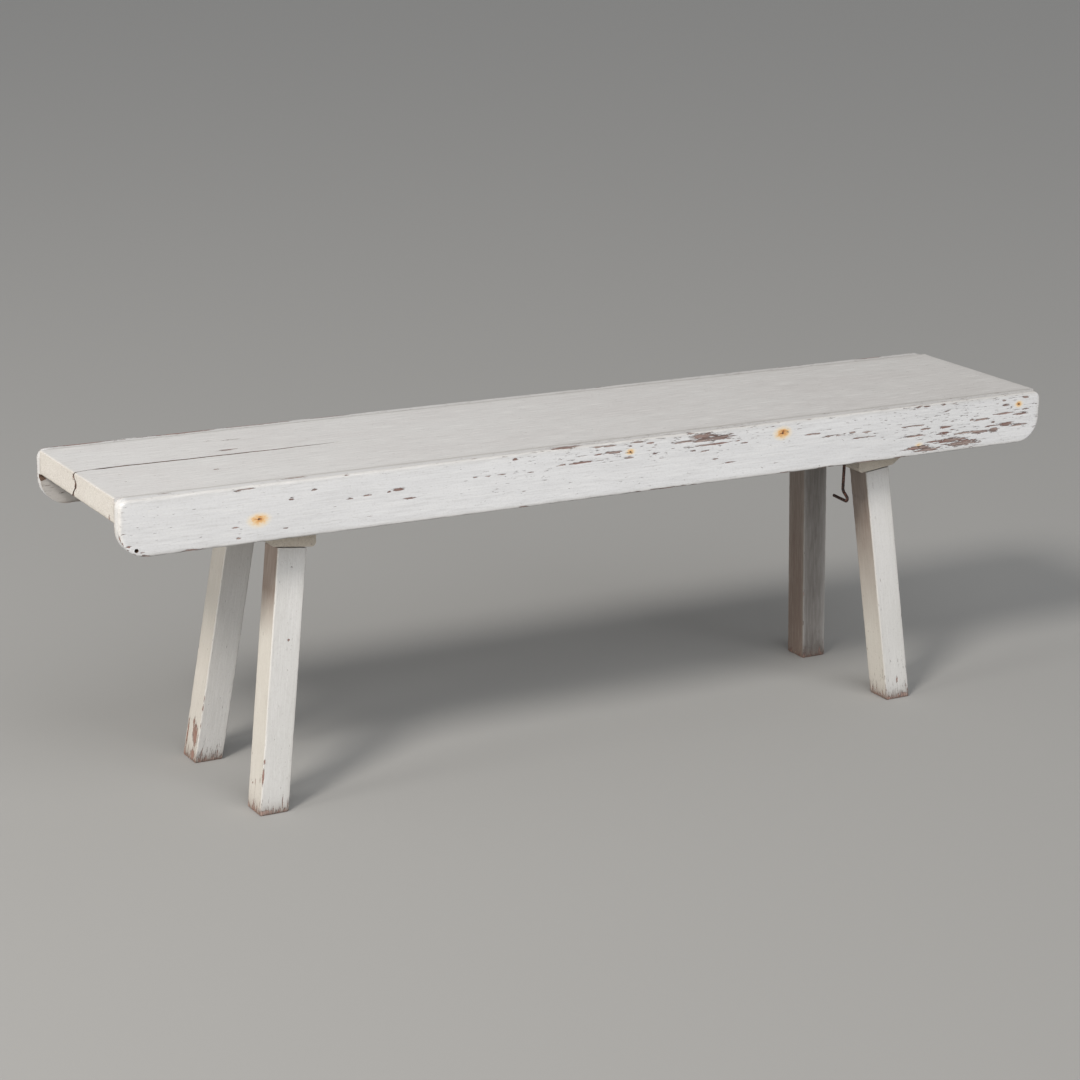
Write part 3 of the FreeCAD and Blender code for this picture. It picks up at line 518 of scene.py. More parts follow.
def square_ring(side, arris):
    """One turn round a square with rounded corners, as points across and up."""
    centre = side / 2 - arris
    ring = []
    for quarter in range(4):
        turn = math.pi / 2 * quarter
        corner = np.array([math.cos(turn) - math.sin(turn), math.sin(turn) + math.cos(turn)]) * centre
        for step in range(ARRIS_STEPS + 1):
            angle = turn + math.pi / 2 * step / ARRIS_STEPS
            ring.append(corner + arris * np.array([math.cos(angle), math.sin(angle)]))
        following = np.array([-math.sin(turn) - math.cos(turn), math.cos(turn) - math.sin(turn)]) * centre
        start = ring[-1]
        end = following + arris * np.array([-math.sin(turn), math.cos(turn)])
        for step in range(1, SIDE_STEPS):
            ring.append(start + (end - start) * step / SIDE_STEPS)
    return np.array(ring)


def stacked(name, rings):
    """A closed piece over a stack of rings with equally many points, each seen anticlockwise."""
    count = len(rings[0])
    faces = []
    for start in range(0, (len(rings) - 1) * count, count):
        for step in range(count):
            one, two = start + step, start + (step + 1) % count
            faces.append((one, two, two + count, one + count))
    faces += [tuple(range(count))[::-1], tuple(range(start + count, start + 2 * count))]
    return make_piece(name, np.concatenate(rings), faces)


FLAKE_SLOPE = 0.3  # how soon the wear round a spot comes to nothing
# The wear at a spot's outline, where noise at its middle value just takes the paint off
OUTLINE_WEAR = FLAKE_POINT - (FLAKE_PULL + CRUMB_PULL) / 2


def flaked(points, spots, base):
    """The wear at points with flaked spots. A spot is its middle and its half sizes."""
    wear = np.broadcast_to(np.asarray(base, float), len(points)).copy()
    for spot in spots:
        reach = np.linalg.norm((points - spot[:3]) / spot[3:6], axis=1)
        wear = np.maximum(wear, np.clip(OUTLINE_WEAR + FLAKE_SLOPE * (1 - reach), 0, 1))
    return wear


def cut_out(piece, *tools):
    """Cuts tools out of a piece and throws them away. The cut faces are marked as raw wood."""
    form = bmesh.new()
    for tool in tools:
        form.from_mesh(tool.data)
        bpy.data.objects.remove(tool)
    bmesh.ops.recalc_face_normals(form, faces=form.faces)
    mesh = bpy.data.meshes.new("cutter")
    form.to_mesh(mesh)
    form.free()
    for target, value in ((piece.data, 0.0), (mesh, 1.0)):
        if "raw" not in target.attributes:
            marks = target.attributes.new("raw", "FLOAT", "FACE")
            marks.data.foreach_set("value", [value] * len(target.polygons))
    cutter = put_in_scene("cutter", mesh)
    modifier = piece.modifiers.new("cut", "BOOLEAN")
    modifier.operation = "DIFFERENCE"
    modifier.solver = "EXACT"
    modifier.object = cutter
    settle(piece)
    bpy.data.objects.remove(cutter)


SQUARE_CORNERS = ((-1, -1), (1, -1), (1, 1), (-1, 1))
FOOT_WEAR_MM = 9.0  # how far up a leg the wet and the knocks of the floor reach
SHADE_FADE_PER_MM = 0.001  # how much lighter the painted shade on the turned faces gets by the distance from the foot

leg_paint = worn_white_paint("old_white_oil_paint_on_pine_legs", "#D1D0CF", "#CAC9C7", 0.25)
for end_word, out in ENDS:
    for row_word, back in ROWS:
        node_name = f"{row_word}_{end_word}_leg"
        foot, turn = leg_frame(out, back)
        local = (points_of(frame["nodes"][node_name]) - foot) @ turn
        shoulder = local[np.abs(local[:, 0]) > TENON_MM * 0.6][:, 2].max() + SHOULDER_LIFT_MM
        tenon_top = box_mm(node_name)[1][2]

        square = square_ring(LEG_SIDE_MM, LEG_ARRIS_MM)
        angles = np.arctan2(square[:, 1], square[:, 0])
        circle = np.stack([np.cos(angles), np.sin(angles)], axis=1) * TENON_MM / 2
        rings = []
        for bend in np.linspace(0, math.pi / 2, ARRIS_STEPS + 1):
            inset = FOOT_ARRIS_MM * (1 - math.sin(bend))
            rise = FOOT_ARRIS_MM * (1 - math.cos(bend))
            rings.append((square * (1 - 2 * inset / LEG_SIDE_MM), rise))
        rings += [(square, rise) for rise in np.arange(FOOT_ARRIS_MM, shoulder, RING_PITCH_MM)[1:]]
        rings += [(square, shoulder), (circle, shoulder)]
        levels = []
        for ring, rise in rings:
            height_at_floor = -(ring @ turn[2, :2]) / turn[2, 2]
            up_leg = height_at_floor * (1 - rise / shoulder) + rise
            levels.append(np.column_stack([ring, up_leg]) @ turn.T + foot)
        to_top = (tenon_top - levels[-1][:, 2:]) / turn[2, 2]
        tenon_start = levels[-1]
        for share in (0.33, 0.67, 1.0):
            levels.append(tenon_start + to_top * share * turn[:, 2])
        leg = stacked(f"worn_{node_name}", levels)

        # The kerf is cut on past the tenon's top, as wide as its own taper makes it there
        tip = tenon_top / turn[2, 2] - KERF_DEPTH_MM
        kerf = []
        for reach in (0.0, 1.5):
            width = KERF_MM[0] + reach * (KERF_MM[1] - KERF_MM[0])
            corners = np.array([(x, y, tip + reach * KERF_DEPTH_MM) for x, y in SQUARE_CORNERS])
            kerf.append(corners * (TENON_MM, width / 2, 1) @ turn.T + foot)
        cut_out(leg, stacked("kerf", kerf))

        place = points_of(leg)
        own = (place - foot) @ turn
        from_edge = np.abs(np.abs(own[:, :2]) - LEG_SIDE_MM / 2).max(axis=1)
        hidden = np.clip(own[:, 2] - shoulder + SOUND_SKIN_MM, 0, 1)
        hidden = np.maximum(hidden, np.clip(1 - place[:, 2] / 0.5, 0, 1))
        ridge = np.exp(-from_edge / 3)
        turned_away = np.clip((own[:, 1] + LEG_SIDE_MM / 2) / 3, 0, 1)
        at_foot = np.exp(-place[:, 2] / FOOT_WEAR_MM)
        all_over, by_seat, full, faded = LEG_PAINTED_SHADE[node_name]
        painted_seat_shadow = by_seat * np.clip((own[:, 2] - shoulder + faded) / (faded - full), 0, 1)
        # The painted shade is lighter on the arrises than on the faces, and lighter on the side towards the
        # right
        painted_leg_shade = all_over * (1 + turned_away * (0.25 - SHADE_FADE_PER_MM * own[:, 2])) * (1 - 0.45 * ridge)
        painted_leg_shade *= 1 - 0.3 * np.clip(own[:, 0] / LEG_SIDE_MM * 2, 0, 1) ** 2
        base = 0.05 + 0.16 * at_foot + 0.13 * at_foot ** 0.3 + 0.04 * ridge
        # Here grime is painted shade: all over a leg that stands in the seat's shade, and the seat's shadow
        # on its turned faces. It is also darker towards the foot.
        mark_wear(
            leg,
            own[:, [2, 0, 1]] + 250 * (out + 2 * back + 4),
            wear=flaked(own, LEG_SPOTS[node_name], base),
            ridge=0.6 * ridge,
            grime=np.clip(painted_leg_shade + 1.2 * at_foot + turned_away * painted_seat_shadow, 0, 1.1),
            shelter=hidden,
            # The faces other than the front are tinted warm as painted warm light; the foot is warmed by
            # soil.
            yellowing=np.maximum(0.15 + 0.85 * turned_away, at_foot),
        )
        dress(leg, node_name, leg_paint, out + 2.0 * back, knocks=1.0)

# The wedges. A sliver of split pine is driven into each tenon's kerf and trimmed level with the
# bearer's tongue, so the seat hides it. It is bare wood: warm ochre with fine darker late wood.
PINE_RINGS_MM = (1.5, 1.5, 60.0)  # growth rings 1.5 mm apart, drawn out up the wedge

wedge_pine, tree = new_material("split_bare_pine")
place = add_node(tree, "ShaderNodeTexCoord", result="Object")
late_wood = grain_pattern(tree, place, [size * MM for size in PINE_RINGS_MM], {"Detail": 3.0})
pine = add_node(tree, "ShaderNodeValToRGB", {0: late_wood})
for tone, position, hue in zip(pine.node.color_ramp.elements, (0.35, 0.65), ("#C29B6C", "#93683F")):
    tone.position = position
    tone.color = linear(hue)
bump = add_node(tree, "ShaderNodeBump", {"Strength": 0.6, "Distance": 0.3 * MM, "Height": late_wood})
set_surface(tree, {"Base Color": pine, "Roughness": 0.7, "IOR": 1.5, "Normal": bump})
for end_word, _ in ENDS:
    for row_word, _ in ROWS:
        for slot in frame["nodes"][f"{row_word}_{end_word}_wedge"].material_slots:
            slot.material = wedge_pine

# The seat. One wide plank of pine, brushed white, that has split from its left end as it dried.
# The bearers' tongues run in two dovetail housings across its underside, and nails hold its edges.
SEAT_PITCH_MM = 3.2
SEAT_ARRIS_MM = 2.5
ARRIS_LINES = 3
TONGUE_MM = 10.0
TONGUE_SLANT = math.radians(12)
WOOD_PLAY_MM = 0.15
NAIL_PLAY_MM = 0.1
NAIL_MM = 50.0
NAIL_SHANK_MM = 3.0
NAIL_HEAD_MM = (6.5, 1.2)
OVERRUN_MM = 4.0
EYE_WIRE_MM = 4.0
EYE_DEPTH_MM = 18.0
# The split: how far behind the middle its line on the top lies, by the distance from the end
SPLIT_LINE_MM = (
    (0, 5), (20, 9.6), (60, 10.4), (100, 9.8), (150, 8.6), (205, 8.2), (280, 7.2), (330, 8.2), (366, 8.4),
)
# How far it strays from that line at the end, by the height over the underside
SPLIT_END_MM = ((0, 8), (3, 6.2), (8.4, 1.6), (13.3, -2.8), (19, -5.6), (23.3, -2.2), (27.2, 2.4), (32, 0))
SPLIT_FADE_MM = 70.0
SPLIT_STEP_MM = 4.0
# How wide it gapes, by the distance from the end
SPLIT_GAP_MM = (
    (0, 2.4), (5, 1.4), (9, 0.7), (26, 0.8), (34, 3.5), (200, 3.2), (260, 2.6), (320, 1.8), (366, 0.1),
)
SEAT_SPOTS = (
    (-486, 31, 440, 12, 2.6, 2),
    (-495, 82, 440, 7, 1.6, 2),
    (-461, 76, 440, 11, 1.6, 2),
    (-539, -51, 440, 4, 1.6, 2),
    (-376, -8, 440, 5, 1.2, 2),
    (-669, 50, 440, 3, 1.4, 2),
    (-662, -60, 440, 3, 1.2, 2),
    (-702, -109, 415, 2, 1.6, 1.6),
    (-702, -109, 410, 2, 1.4, 1.4),
    (-702, 1, 425, 2, 3.2, 6),
    (-702, 8, 434, 2, 2.6, 4),
    (-702, 9, 412, 2, 2.4, 4),
)
CLOSE_LINES_MM = np.linspace(-4.5, 4.5, 10)  # the finer grid lines round a nail
CLOSEST_LINES_MM = 0.3


def grid_lines(low, high, pitch, arris=0.0, close_to=()):
    """Places of grid lines about a pitch apart, closer over a rounded edge and near given places."""
    count = max(2, round((high - low - 2 * arris) / pitch) + 1)
    rim = np.arange(ARRIS_LINES) * arris / ARRIS_LINES if arris else np.empty(0)
    lines = np.concatenate([low + rim, np.linspace(low + arris, high - arris, count), high - rim[::-1]])
    for line in [line for place in close_to for line in place + CLOSE_LINES_MM]:
        if np.abs(lines - line).min() > CLOSEST_LINES_MM:
            lines = np.append(lines, line)
    return np.sort(lines)


def grid_board(places):
    """The skin of a block with the given grid lines along X, Y and Z, as points and outward faces."""
    counts = [len(lines) for lines in places]
    block = np.stack(np.meshgrid(*places, indexing="ij"), axis=-1)
    skin = np.ones(counts, bool)
    skin[1:-1, 1:-1, 1:-1] = False
    index = np.full(counts, -1)
    index[skin] = np.arange(skin.sum())
    faces = []
    for axis in range(3):
        for end in (0, -1):
            sheet = np.take(index, end, axis=axis)
            cells = np.stack([sheet[:-1, :-1], sheet[1:, :-1], sheet[1:, 1:], sheet[:-1, 1:]], axis=-1)
            cells = cells.reshape(-1, 4)
            faces += (cells if (end == -1) != (axis == 1) else cells[:, ::-1]).tolist()
    return block[skin], faces


def round_edge(points, axes, corner, inwards, radius):
    """Bends the square edge of a board at a corner of two axes into a round one."""
    past = (np.array(corner) + np.array(inwards) * radius - points[:, axes]) * inwards
    both = (past > 0).all(axis=1)
    bent = past[both] * (past[both].max(axis=1) / np.linalg.norm(past[both], axis=1))[:, None]
    points[np.ix_(both, axes)] = np.array(corner) + np.array(inwards) * (radius - bent)


def turned_solid(name, profile_mm, sides=20, ragged=0.0):
    """A solid turned about Z from pairs of radius and height, from its lower end up. ragged is how
    uneven its radius is, as a share."""
    angles = np.arange(sides) * 2 * math.pi / sides
    uneven = 1 + ragged * (np.sin(2 * angles + 1) + np.sin(5 * angles)) / 2
    circle = np.column_stack([np.cos(angles) * uneven, np.sin(angles) * uneven])
    rings = [np.column_stack([circle * radius, np.full(sides, height)]) for radius, height in profile_mm]
    return stacked(name, rings)


def driven(piece, where, side):
    """Turns a piece from upright to pointing in through a rail, with side -1 at the front."""
    points = points_of(piece)
    points = np.column_stack([points[:, 0], -side * points[:, 2], side * points[:, 1]]) + where
    piece.data.vertices.foreach_set("co", (points * MM).ravel())
    return piece


def nail_places(node, side):
    """The middles of the outer faces of a node's nail heads, from left to right."""
    points = points_of(frame["nodes"][node])
    face = box_mm("front_rail")[0][1] * -side
    heads = points[np.abs(points[:, 1] - face) < 0.01]
    heads = heads[np.argsort(heads[:, 0])]
    groups = np.split(heads, np.where(np.diff(heads[:, 0]) > NAIL_HEAD_MM[0])[0] + 1)
    return [(group.min(axis=0) + group.max(axis=0)) / 2 for group in groups]


def split_tool(low, high):
    """The drying split as a solid: thin slices across the plank, each a crooked slot. Its line and
    its width also wobble slowly and quickly, as torn fibres do."""
    line, stray, gap = (np.array(rows) for rows in (SPLIT_LINE_MM, SPLIT_END_MM, SPLIT_GAP_MM))
    heights = np.linspace(low[2] - OVERRUN_MM, high[2] + OVERRUN_MM, 15)
    length = line[-1][0]
    slices = []
    for along in np.append(np.arange(-SPLIT_STEP_MM, length, SPLIT_STEP_MM), length):
        from_end = max(along, 0)
        crook = np.interp(heights - low[2], *stray.T) * math.exp(-from_end / SPLIT_FADE_MM)
        wobble = 0.3 * np.sin(along / 9 + heights / 7) + 0.18 * np.sin(along / 3.3 - heights / 3)
        middle = np.interp(along, *line.T) + crook + wobble * min(1, from_end / 30)
        half = np.interp(along, *gap.T) / 2 * (1 + 0.25 * np.sin(along / 5 + heights))
        x = np.full(len(heights), low[0] + along)
        front = np.column_stack([x, middle - half, heights])
        rear = np.column_stack([x, middle + half, heights])
        slices.append(np.concatenate([front, rear[::-1]]))
    return stacked("split", slices)


low, high = box_mm("seat_plank")
arrises = (SEAT_ARRIS_MM, 0.0, SEAT_ARRIS_MM)
lines = [grid_lines(low[axis], high[axis], SEAT_PITCH_MM, arrises[axis]) for axis in range(3)]
points, faces = grid_board(lines)
for end, from_end in ((low, 1), (high, -1)):
    for level, from_level in ((low, 1), (high, -1)):
        round_edge(points, [0, 2], (end[0], level[2]), (from_end, from_level), SEAT_ARRIS_MM)
seat = make_piece("worn_seat_plank", points, faces)

housings = []
undercut = TONGUE_MM * math.tan(TONGUE_SLANT)
for node_name in ("left_bearer", "right_bearer"):
    inner, outer = box_mm(node_name)[0][0] - WOOD_PLAY_MM, box_mm(node_name)[1][0] + WOOD_PLAY_MM
    top = low[2] + TONGUE_MM + WOOD_PLAY_MM
    outline = (
        (inner + undercut, low[2] - OVERRUN_MM),
        (outer - undercut, low[2] - OVERRUN_MM),
        (outer - undercut, low[2]),
        (outer, top),
        (inner, top),
        (inner + undercut, low[2]),
    )
    rows = []
    for y in (low[1] - OVERRUN_MM, high[1] + OVERRUN_MM):
        rows.append([(across, y, up) for across, up in outline])
    housings.append(stacked("housing", rows))
cut_out(seat, *housings)

holes = [split_tool(low, high)]
pivot = np.array(frame["record"]["behaviour"]["joints"][0]["pos_m"]) / MM
radius = EYE_WIRE_MM / 2 + NAIL_PLAY_MM
eye_hole = turned_solid("eye_hole", [(radius, -OVERRUN_MM), (radius, EYE_DEPTH_MM + NAIL_PLAY_MM)])
eye_points = points_of(eye_hole) + (pivot[0], pivot[1], low[2])
eye_hole.data.vertices.foreach_set("co", (eye_points * MM).ravel())
holes.append(eye_hole)
rail_thickness = box_mm("front_rail")[1][1] - box_mm("front_rail")[0][1]
radius = NAIL_SHANK_MM / 2 + NAIL_PLAY_MM
hole = [(radius, rail_thickness - OVERRUN_MM), (radius, NAIL_MM + NAIL_PLAY_MM)]
for row_word, side in ROWS:
    for where in nail_places(f"{row_word}_seat_nails", side):
        holes.append(driven(turned_solid("nail_hole", hole, 12), where, side))
cut_out(seat, *holes)

place = points_of(seat)
seat_paint = worn_white_paint("brushed_white_oil_paint_on_pine", "#DEDEDE", "#D9D8D8", 0.7)
from_joint = np.minimum(place[:, 1] - low[1], high[1] - place[:, 1])
from_top = high[2] - place[:, 2]
from_end = np.minimum(place[:, 0] - low[0], high[0] - place[:, 0])
at_end = np.clip(1 - from_end / 2, 0, 1)
underneath = from_top > 30
seam = np.exp(-from_joint / 1.2)
on_top = np.clip(1 - from_top / 2, 0, 1) * np.clip(from_end / 3, 0, 1)
mark_wear(
    seat,
    place,
    wear=flaked(place, SEAT_SPOTS, 0.06 + 0.05 * np.maximum(at_end, from_top > 20)),
    ridge=np.exp(-edge_distance(place, low, high) / 3) * np.clip(from_joint / 6, 0, 1),
    grime=np.maximum(np.maximum(0.35 * seam, 0.4 * underneath), 0.1 * at_end),
    shelter=np.clip(1 - from_joint / 6, 0, 1),
    # The end's warm cream is painted warm light; the underside is yellowed.
    yellowing=np.maximum(at_end, 0.6 * underneath),
    # The top is painted darker towards the right: shade from the light's falloff, with some greying from
    # sitting.
    use=on_top * np.interp(place[:, 0], (-700, 700), (0.3, 0.8)),
)
dress(seat, "seat_plank", seat_paint, 5.0, knocks=0.6, film=0.2)

# The rails. Two pine boards with rounded ends are nailed to the plank's edges and to the bearers'
# ends. The front one has lost paint in long flakes, most of it near its right end, and rust has
# bled through over its nails. A screw once went through its left end. The rear one is chipped.
RAIL_LOWER_CORNER_MM = 36.0
RAIL_UPPER_CORNER_MM = 13.0
RAIL_ARRIS_MM = 4.0
RAIL_WORN_ARRIS_MM = (3.8, 2.2)  # along the top, at its left and at its right end
RAIL_LOWER_ARRIS_MM = 1.6
RAIL_PITCH_MM = (3.0, 3.2, 1.0)
HEAD_SUNK_MM = 0.6
OLD_HOLE_MM = 5.0
OLD_HOLE_INSET_MM = 21.5
OLD_HOLE_RISE_MM = 9.6
CHIP_MM = (8.0, 6.0, 9.0)
# Flakes on the front rail's face: place along and up, half length and half height
FRONT_FLAKES_MM = (
    (-549, 435.5, 6, 1.4), (-533, 436.5, 9, 1.0), (-553, 389.5, 4, 1.1), (-549, 375.5, 3, 1.4),
    (-447, 425.5, 4, 1.5), (-478, 417, 3, 1.8), (-398, 408, 4, 1.0), (-375, 409.5, 6, 1.0),
    (-486, 381, 4, 1.0), (-691, 382.5, 3, 1.2), (-671, 369.5, 4, 1.4), (-610, 367, 7, 1.2),
    (-674, 373.5, 4, 1.0), (-222, 415.5, 4, 0.8), (-203, 415, 6, 0.8), (-140, 413, 4, 0.9),
    (-331, 412, 10, 1.7), (-344, 410.5, 2, 1.2), (-316, 399, 8, 1.2), (-164, 432.5, 4, 1.8),
    (-182, 415, 7, 0.8), (-162, 415.5, 5, 0.9), (-94, 417.5, 5, 1.1), (-64, 417.5, 24, 1.3),
    (-40, 435.5, 6, 1.1), (-20, 435.5, 12, 1.0), (-39, 425.5, 5, 0.9), (-17, 426, 15, 1.5),
    (9, 416.5, 7, 1.5), (8, 431.5, 4, 0.9), (21, 436, 9, 1.1), (41, 432.5, 6, 1.1),
    (124, 432.5, 20, 4.4), (150, 429, 22, 4.0), (122, 427.5, 12, 2.2), (93, 428.5, 19, 1.1),
    (135, 420.5, 36, 1.1), (190, 417, 6, 1.1), (49, 417.5, 5, 1.1), (108, 414.5, 5, 0.9),
    (126, 412.5, 7, 0.8), (145, 399.5, 6, 0.7), (170, 392.5, 11, 0.7), (180, 421, 4, 0.9),
    (299, 417, 8, 1.1), (309, 417, 7, 1.1), (331, 411.5, 10, 1.4), (347, 411, 5, 1.0),
    (371, 412.5, 6, 0.8), (395, 411, 6, 1.8), (385, 403.5, 24, 0.8), (358, 412, 2, 1.4),
    (472, 411, 13, 0.9), (490, 410.5, 8, 0.9), (480, 396, 23, 1.1), (487, 396.5, 8, 1.4),
    (500, 404.5, 10, 0.9), (533, 403.5, 12, 1.4), (531, 395, 12, 1.8), (510, 384.5, 10, 1.2),
    (545, 383.5, 27, 3.4), (488, 378.5, 23, 2.7), (505, 374, 20, 2.9), (565, 377, 29, 4.0),
    (573, 391.5, 28, 1.5), (597, 390, 14, 2.5), (620, 390.5, 9, 2.9), (598, 408, 12, 1.6),
    (580, 409, 4, 1.1), (643, 397, 15, 2.9), (668, 393.5, 16, 1.5), (617, 397, 13, 0.9),
    (638, 413, 18, 1.3), (668, 409.5, 12, 1.8), (676, 416, 6, 1.1), (640, 424.5, 7, 1.3),
    (636, 432, 3, 1.8), (651, 420.5, 3, 1.2), (676, 433, 5, 1.5), (620, 402, 4, 1.1),
)
# Flakes on the rails' top edges: middle and half sizes
FRONT_EDGE_SPOTS = (
    (-404, -139, 438, 5, 2, 1.4),
    (-86, -137, 440, 22, 3.5, 2),
    (103, -139, 438.5, 6, 2, 1.6),
    (484, -140, 437.5, 7, 2, 1.2),
    (497, -140, 437, 7, 2, 1.1),
    (527, -140, 437, 5, 2, 1.0),
    (-470, -129, 440, 16, 1.6, 1.5),
    (-640, -130, 440, 12, 1.3, 1.5),
    (-700, -137, 394, 2.5, 2.0, 7),
    (-699, -139, 384, 2.2, 2.0, 4),
    (-693, -139, 377, 3.0, 2.0, 2),
    (-684, -139, 371, 3.5, 2.0, 1.6),
    (-668, -140, 368, 5, 2.0, 1.4),
    (-611, -140, 368, 8, 3.0, 1.8),
    (-596, -140, 368, 3, 2.0, 1.2),
    (-150, -140, 368, 7, 2.0, 1.2),
    (60, -140.5, 367.5, 46, 2.0, 1.4),
    (260, -140, 367.5, 14, 2.0, 1.1),
    (330, -140, 367.5, 20, 2.0, 1.2),
    (395, -140.5, 367.2, 34, 2.0, 1.1),
    (455, -140, 367.5, 10, 2.0, 1.0),
)
REAR_EDGE_SPOTS = (
    (-701.5, 139.5, 404, 2.5, 2.6, 36),
    (-650, 138, 440, 56, 4.5, 4),
    (-505, 138, 440, 56, 5.5, 4),
    (-400, 138, 440, 50, 3.5, 3),
    (-290, 138, 440, 40, 2.4, 3),
    (120, 140, 439, 40, 2.5, 2),
    (480, 140, 438, 55, 3.5, 3),
    (610, 139, 439, 26, 4, 3),
)
REAR_FACE_SPOTS = (
    (-560, 141, 392, 42, 4, 4),
    (-505, 141, 385, 25, 4, 2.4),
    (-240, 141, 420, 38, 4, 1.8),
    (-205, 141, 414, 24, 4, 1.3),
    (60, 141, 379, 46, 4, 2.2),
    (300, 141, 424, 28, 4, 1.4),
    (560, 141, 410, 34, 4, 2.4),
    (640, 141, 388, 30, 4, 4),
)
# The wear of the front rail's paint between its flakes: place along, and wear
FRONT_BASE_WEAR = (
    (-700, -640, -500, -250, -100, 200, 330, 420, 500, 690),
    (0.1, 0.08, 0.06, 0.08, 0.13, 0.13, 0.1, 0.125, 0.14, 0.13),
)
# The height below which that paint is nearly whole, by the place along
FRONT_CLEAN_MM = ((-150, -100, 300, 460, 560), (380, 416, 412, 395, 370))
# How far the rust has spread round each nail from left to right: along, up and down, and its strength
FRONT_SEAT_RUST_MM = ((3, 2, 2, 0.1), (1, 1, 1, 0.0), (10, 6, 6, 1.0), (19, 12, 12, 1.1), (10, 7, 7, 1.0))
FRONT_BEARER_RUST_MM = ((20, 10, 14, 1.0), (10, 6, 5, 0.6))
REAR_SEAT_RUST_MM = ((9, 6, 8, 0.9), (6, 4, 5, 0.7), (1, 1, 1, 0.0), (10, 7, 11, 1.0), (5, 4, 4, 0.6))
REAR_BEARER_RUST_MM = ((1, 1, 1, 0.0), (11, 7, 10, 0.95))
OPEN_RUST = 0.9  # from this strength the paint is off a nail's head
BLISTER_MM = (1.5, 1.1)  # its radius at the paint's face and at its foot, where rust is at its worst


def rail_form(points, low, high, outer):
    """Rounds a rail's outline and the arris of its outer face. outer is -1 where that faces -Y."""
    inset = np.minimum(points - low, high - points)
    depth = points[:, 1] - low[1] if outer < 0 else high[1] - points[:, 1]
    rim = np.minimum(inset[:, 0], inset[:, 2])
    # The arris was planed round by hand at the top and the ends, and only eased along the bottom
    below = np.clip((RAIL_LOWER_CORNER_MM - (points[:, 2] - low[2])) / RAIL_LOWER_CORNER_MM, 0, 1)
    along = np.clip(inset[:, 0] / RAIL_LOWER_CORNER_MM, 0, 1)
    arris = np.interp(points[:, 0], (low[0], high[0]), RAIL_WORN_ARRIS_MM)
    arris = arris + (RAIL_LOWER_ARRIS_MM - arris) * below * along
    past = np.clip(arris[:, None] - np.column_stack([rim, depth]), 0, None)
    on_arris = (past > 0).all(axis=1)
    length = np.linalg.norm(past, axis=1)
    scale = np.where(on_arris, past.max(axis=1) / np.maximum(length, 1e-9), 1.0)
    new_rim = np.where(on_arris, arris - past[:, 0] * scale, rim)
    new_depth = np.where(on_arris, arris - past[:, 1] * scale, depth)
    formed = points.copy()
    formed[:, 1] = low[1] + new_depth if outer < 0 else high[1] - new_depth
    left = points[:, 0] < (low[0] + high[0]) / 2
    under = points[:, 2] < (low[2] + high[2]) / 2
    radius = np.where(under, RAIL_LOWER_CORNER_MM, RAIL_UPPER_CORNER_MM)
    across = radius - inset[:, 0]
    up = radius - inset[:, 2]
    in_corner = (across > 0) & (up > 0)
    reach = (radius - new_rim) / np.maximum(np.hypot(across, up), 1e-9)
    by_end = inset[:, 0] <= inset[:, 2]
    new_x = np.where(in_corner, radius - across * reach, np.where(by_end, new_rim, inset[:, 0]))
    new_z = np.where(in_corner, radius - up * reach, np.where(by_end, inset[:, 2], new_rim))
    formed[:, 0] = np.where(left, low[0] + new_x, high[0] - new_x)
    formed[:, 2] = np.where(under, low[2] + new_z, high[2] - new_z)
    return formed, rim, depth


def nail_pocket(where, side, strength):
    """The hole for a nail in a rail. It starts under the paint, unless rust has thrown that off."""
    head, thickness = NAIL_HEAD_MM[0] / 2 + NAIL_PLAY_MM, NAIL_HEAD_MM[1] + NAIL_PLAY_MM
    shank = NAIL_SHANK_MM / 2 + NAIL_PLAY_MM
    pocket = [
        (head, HEAD_SUNK_MM),
        (head, HEAD_SUNK_MM + thickness),
        (shank, HEAD_SUNK_MM + thickness),
        (shank, rail_thickness + OVERRUN_MM),
    ]
    tools = [driven(turned_solid("pocket", pocket), where, side)]
    if strength >= OPEN_RUST:
        blister = [(BLISTER_MM[0] * strength, -OVERRUN_MM), (BLISTER_MM[1] * strength, HEAD_SUNK_MM + 0.2)]
        tools.append(driven(turned_solid("blister", blister, ragged=0.35), where, side))
    return tools


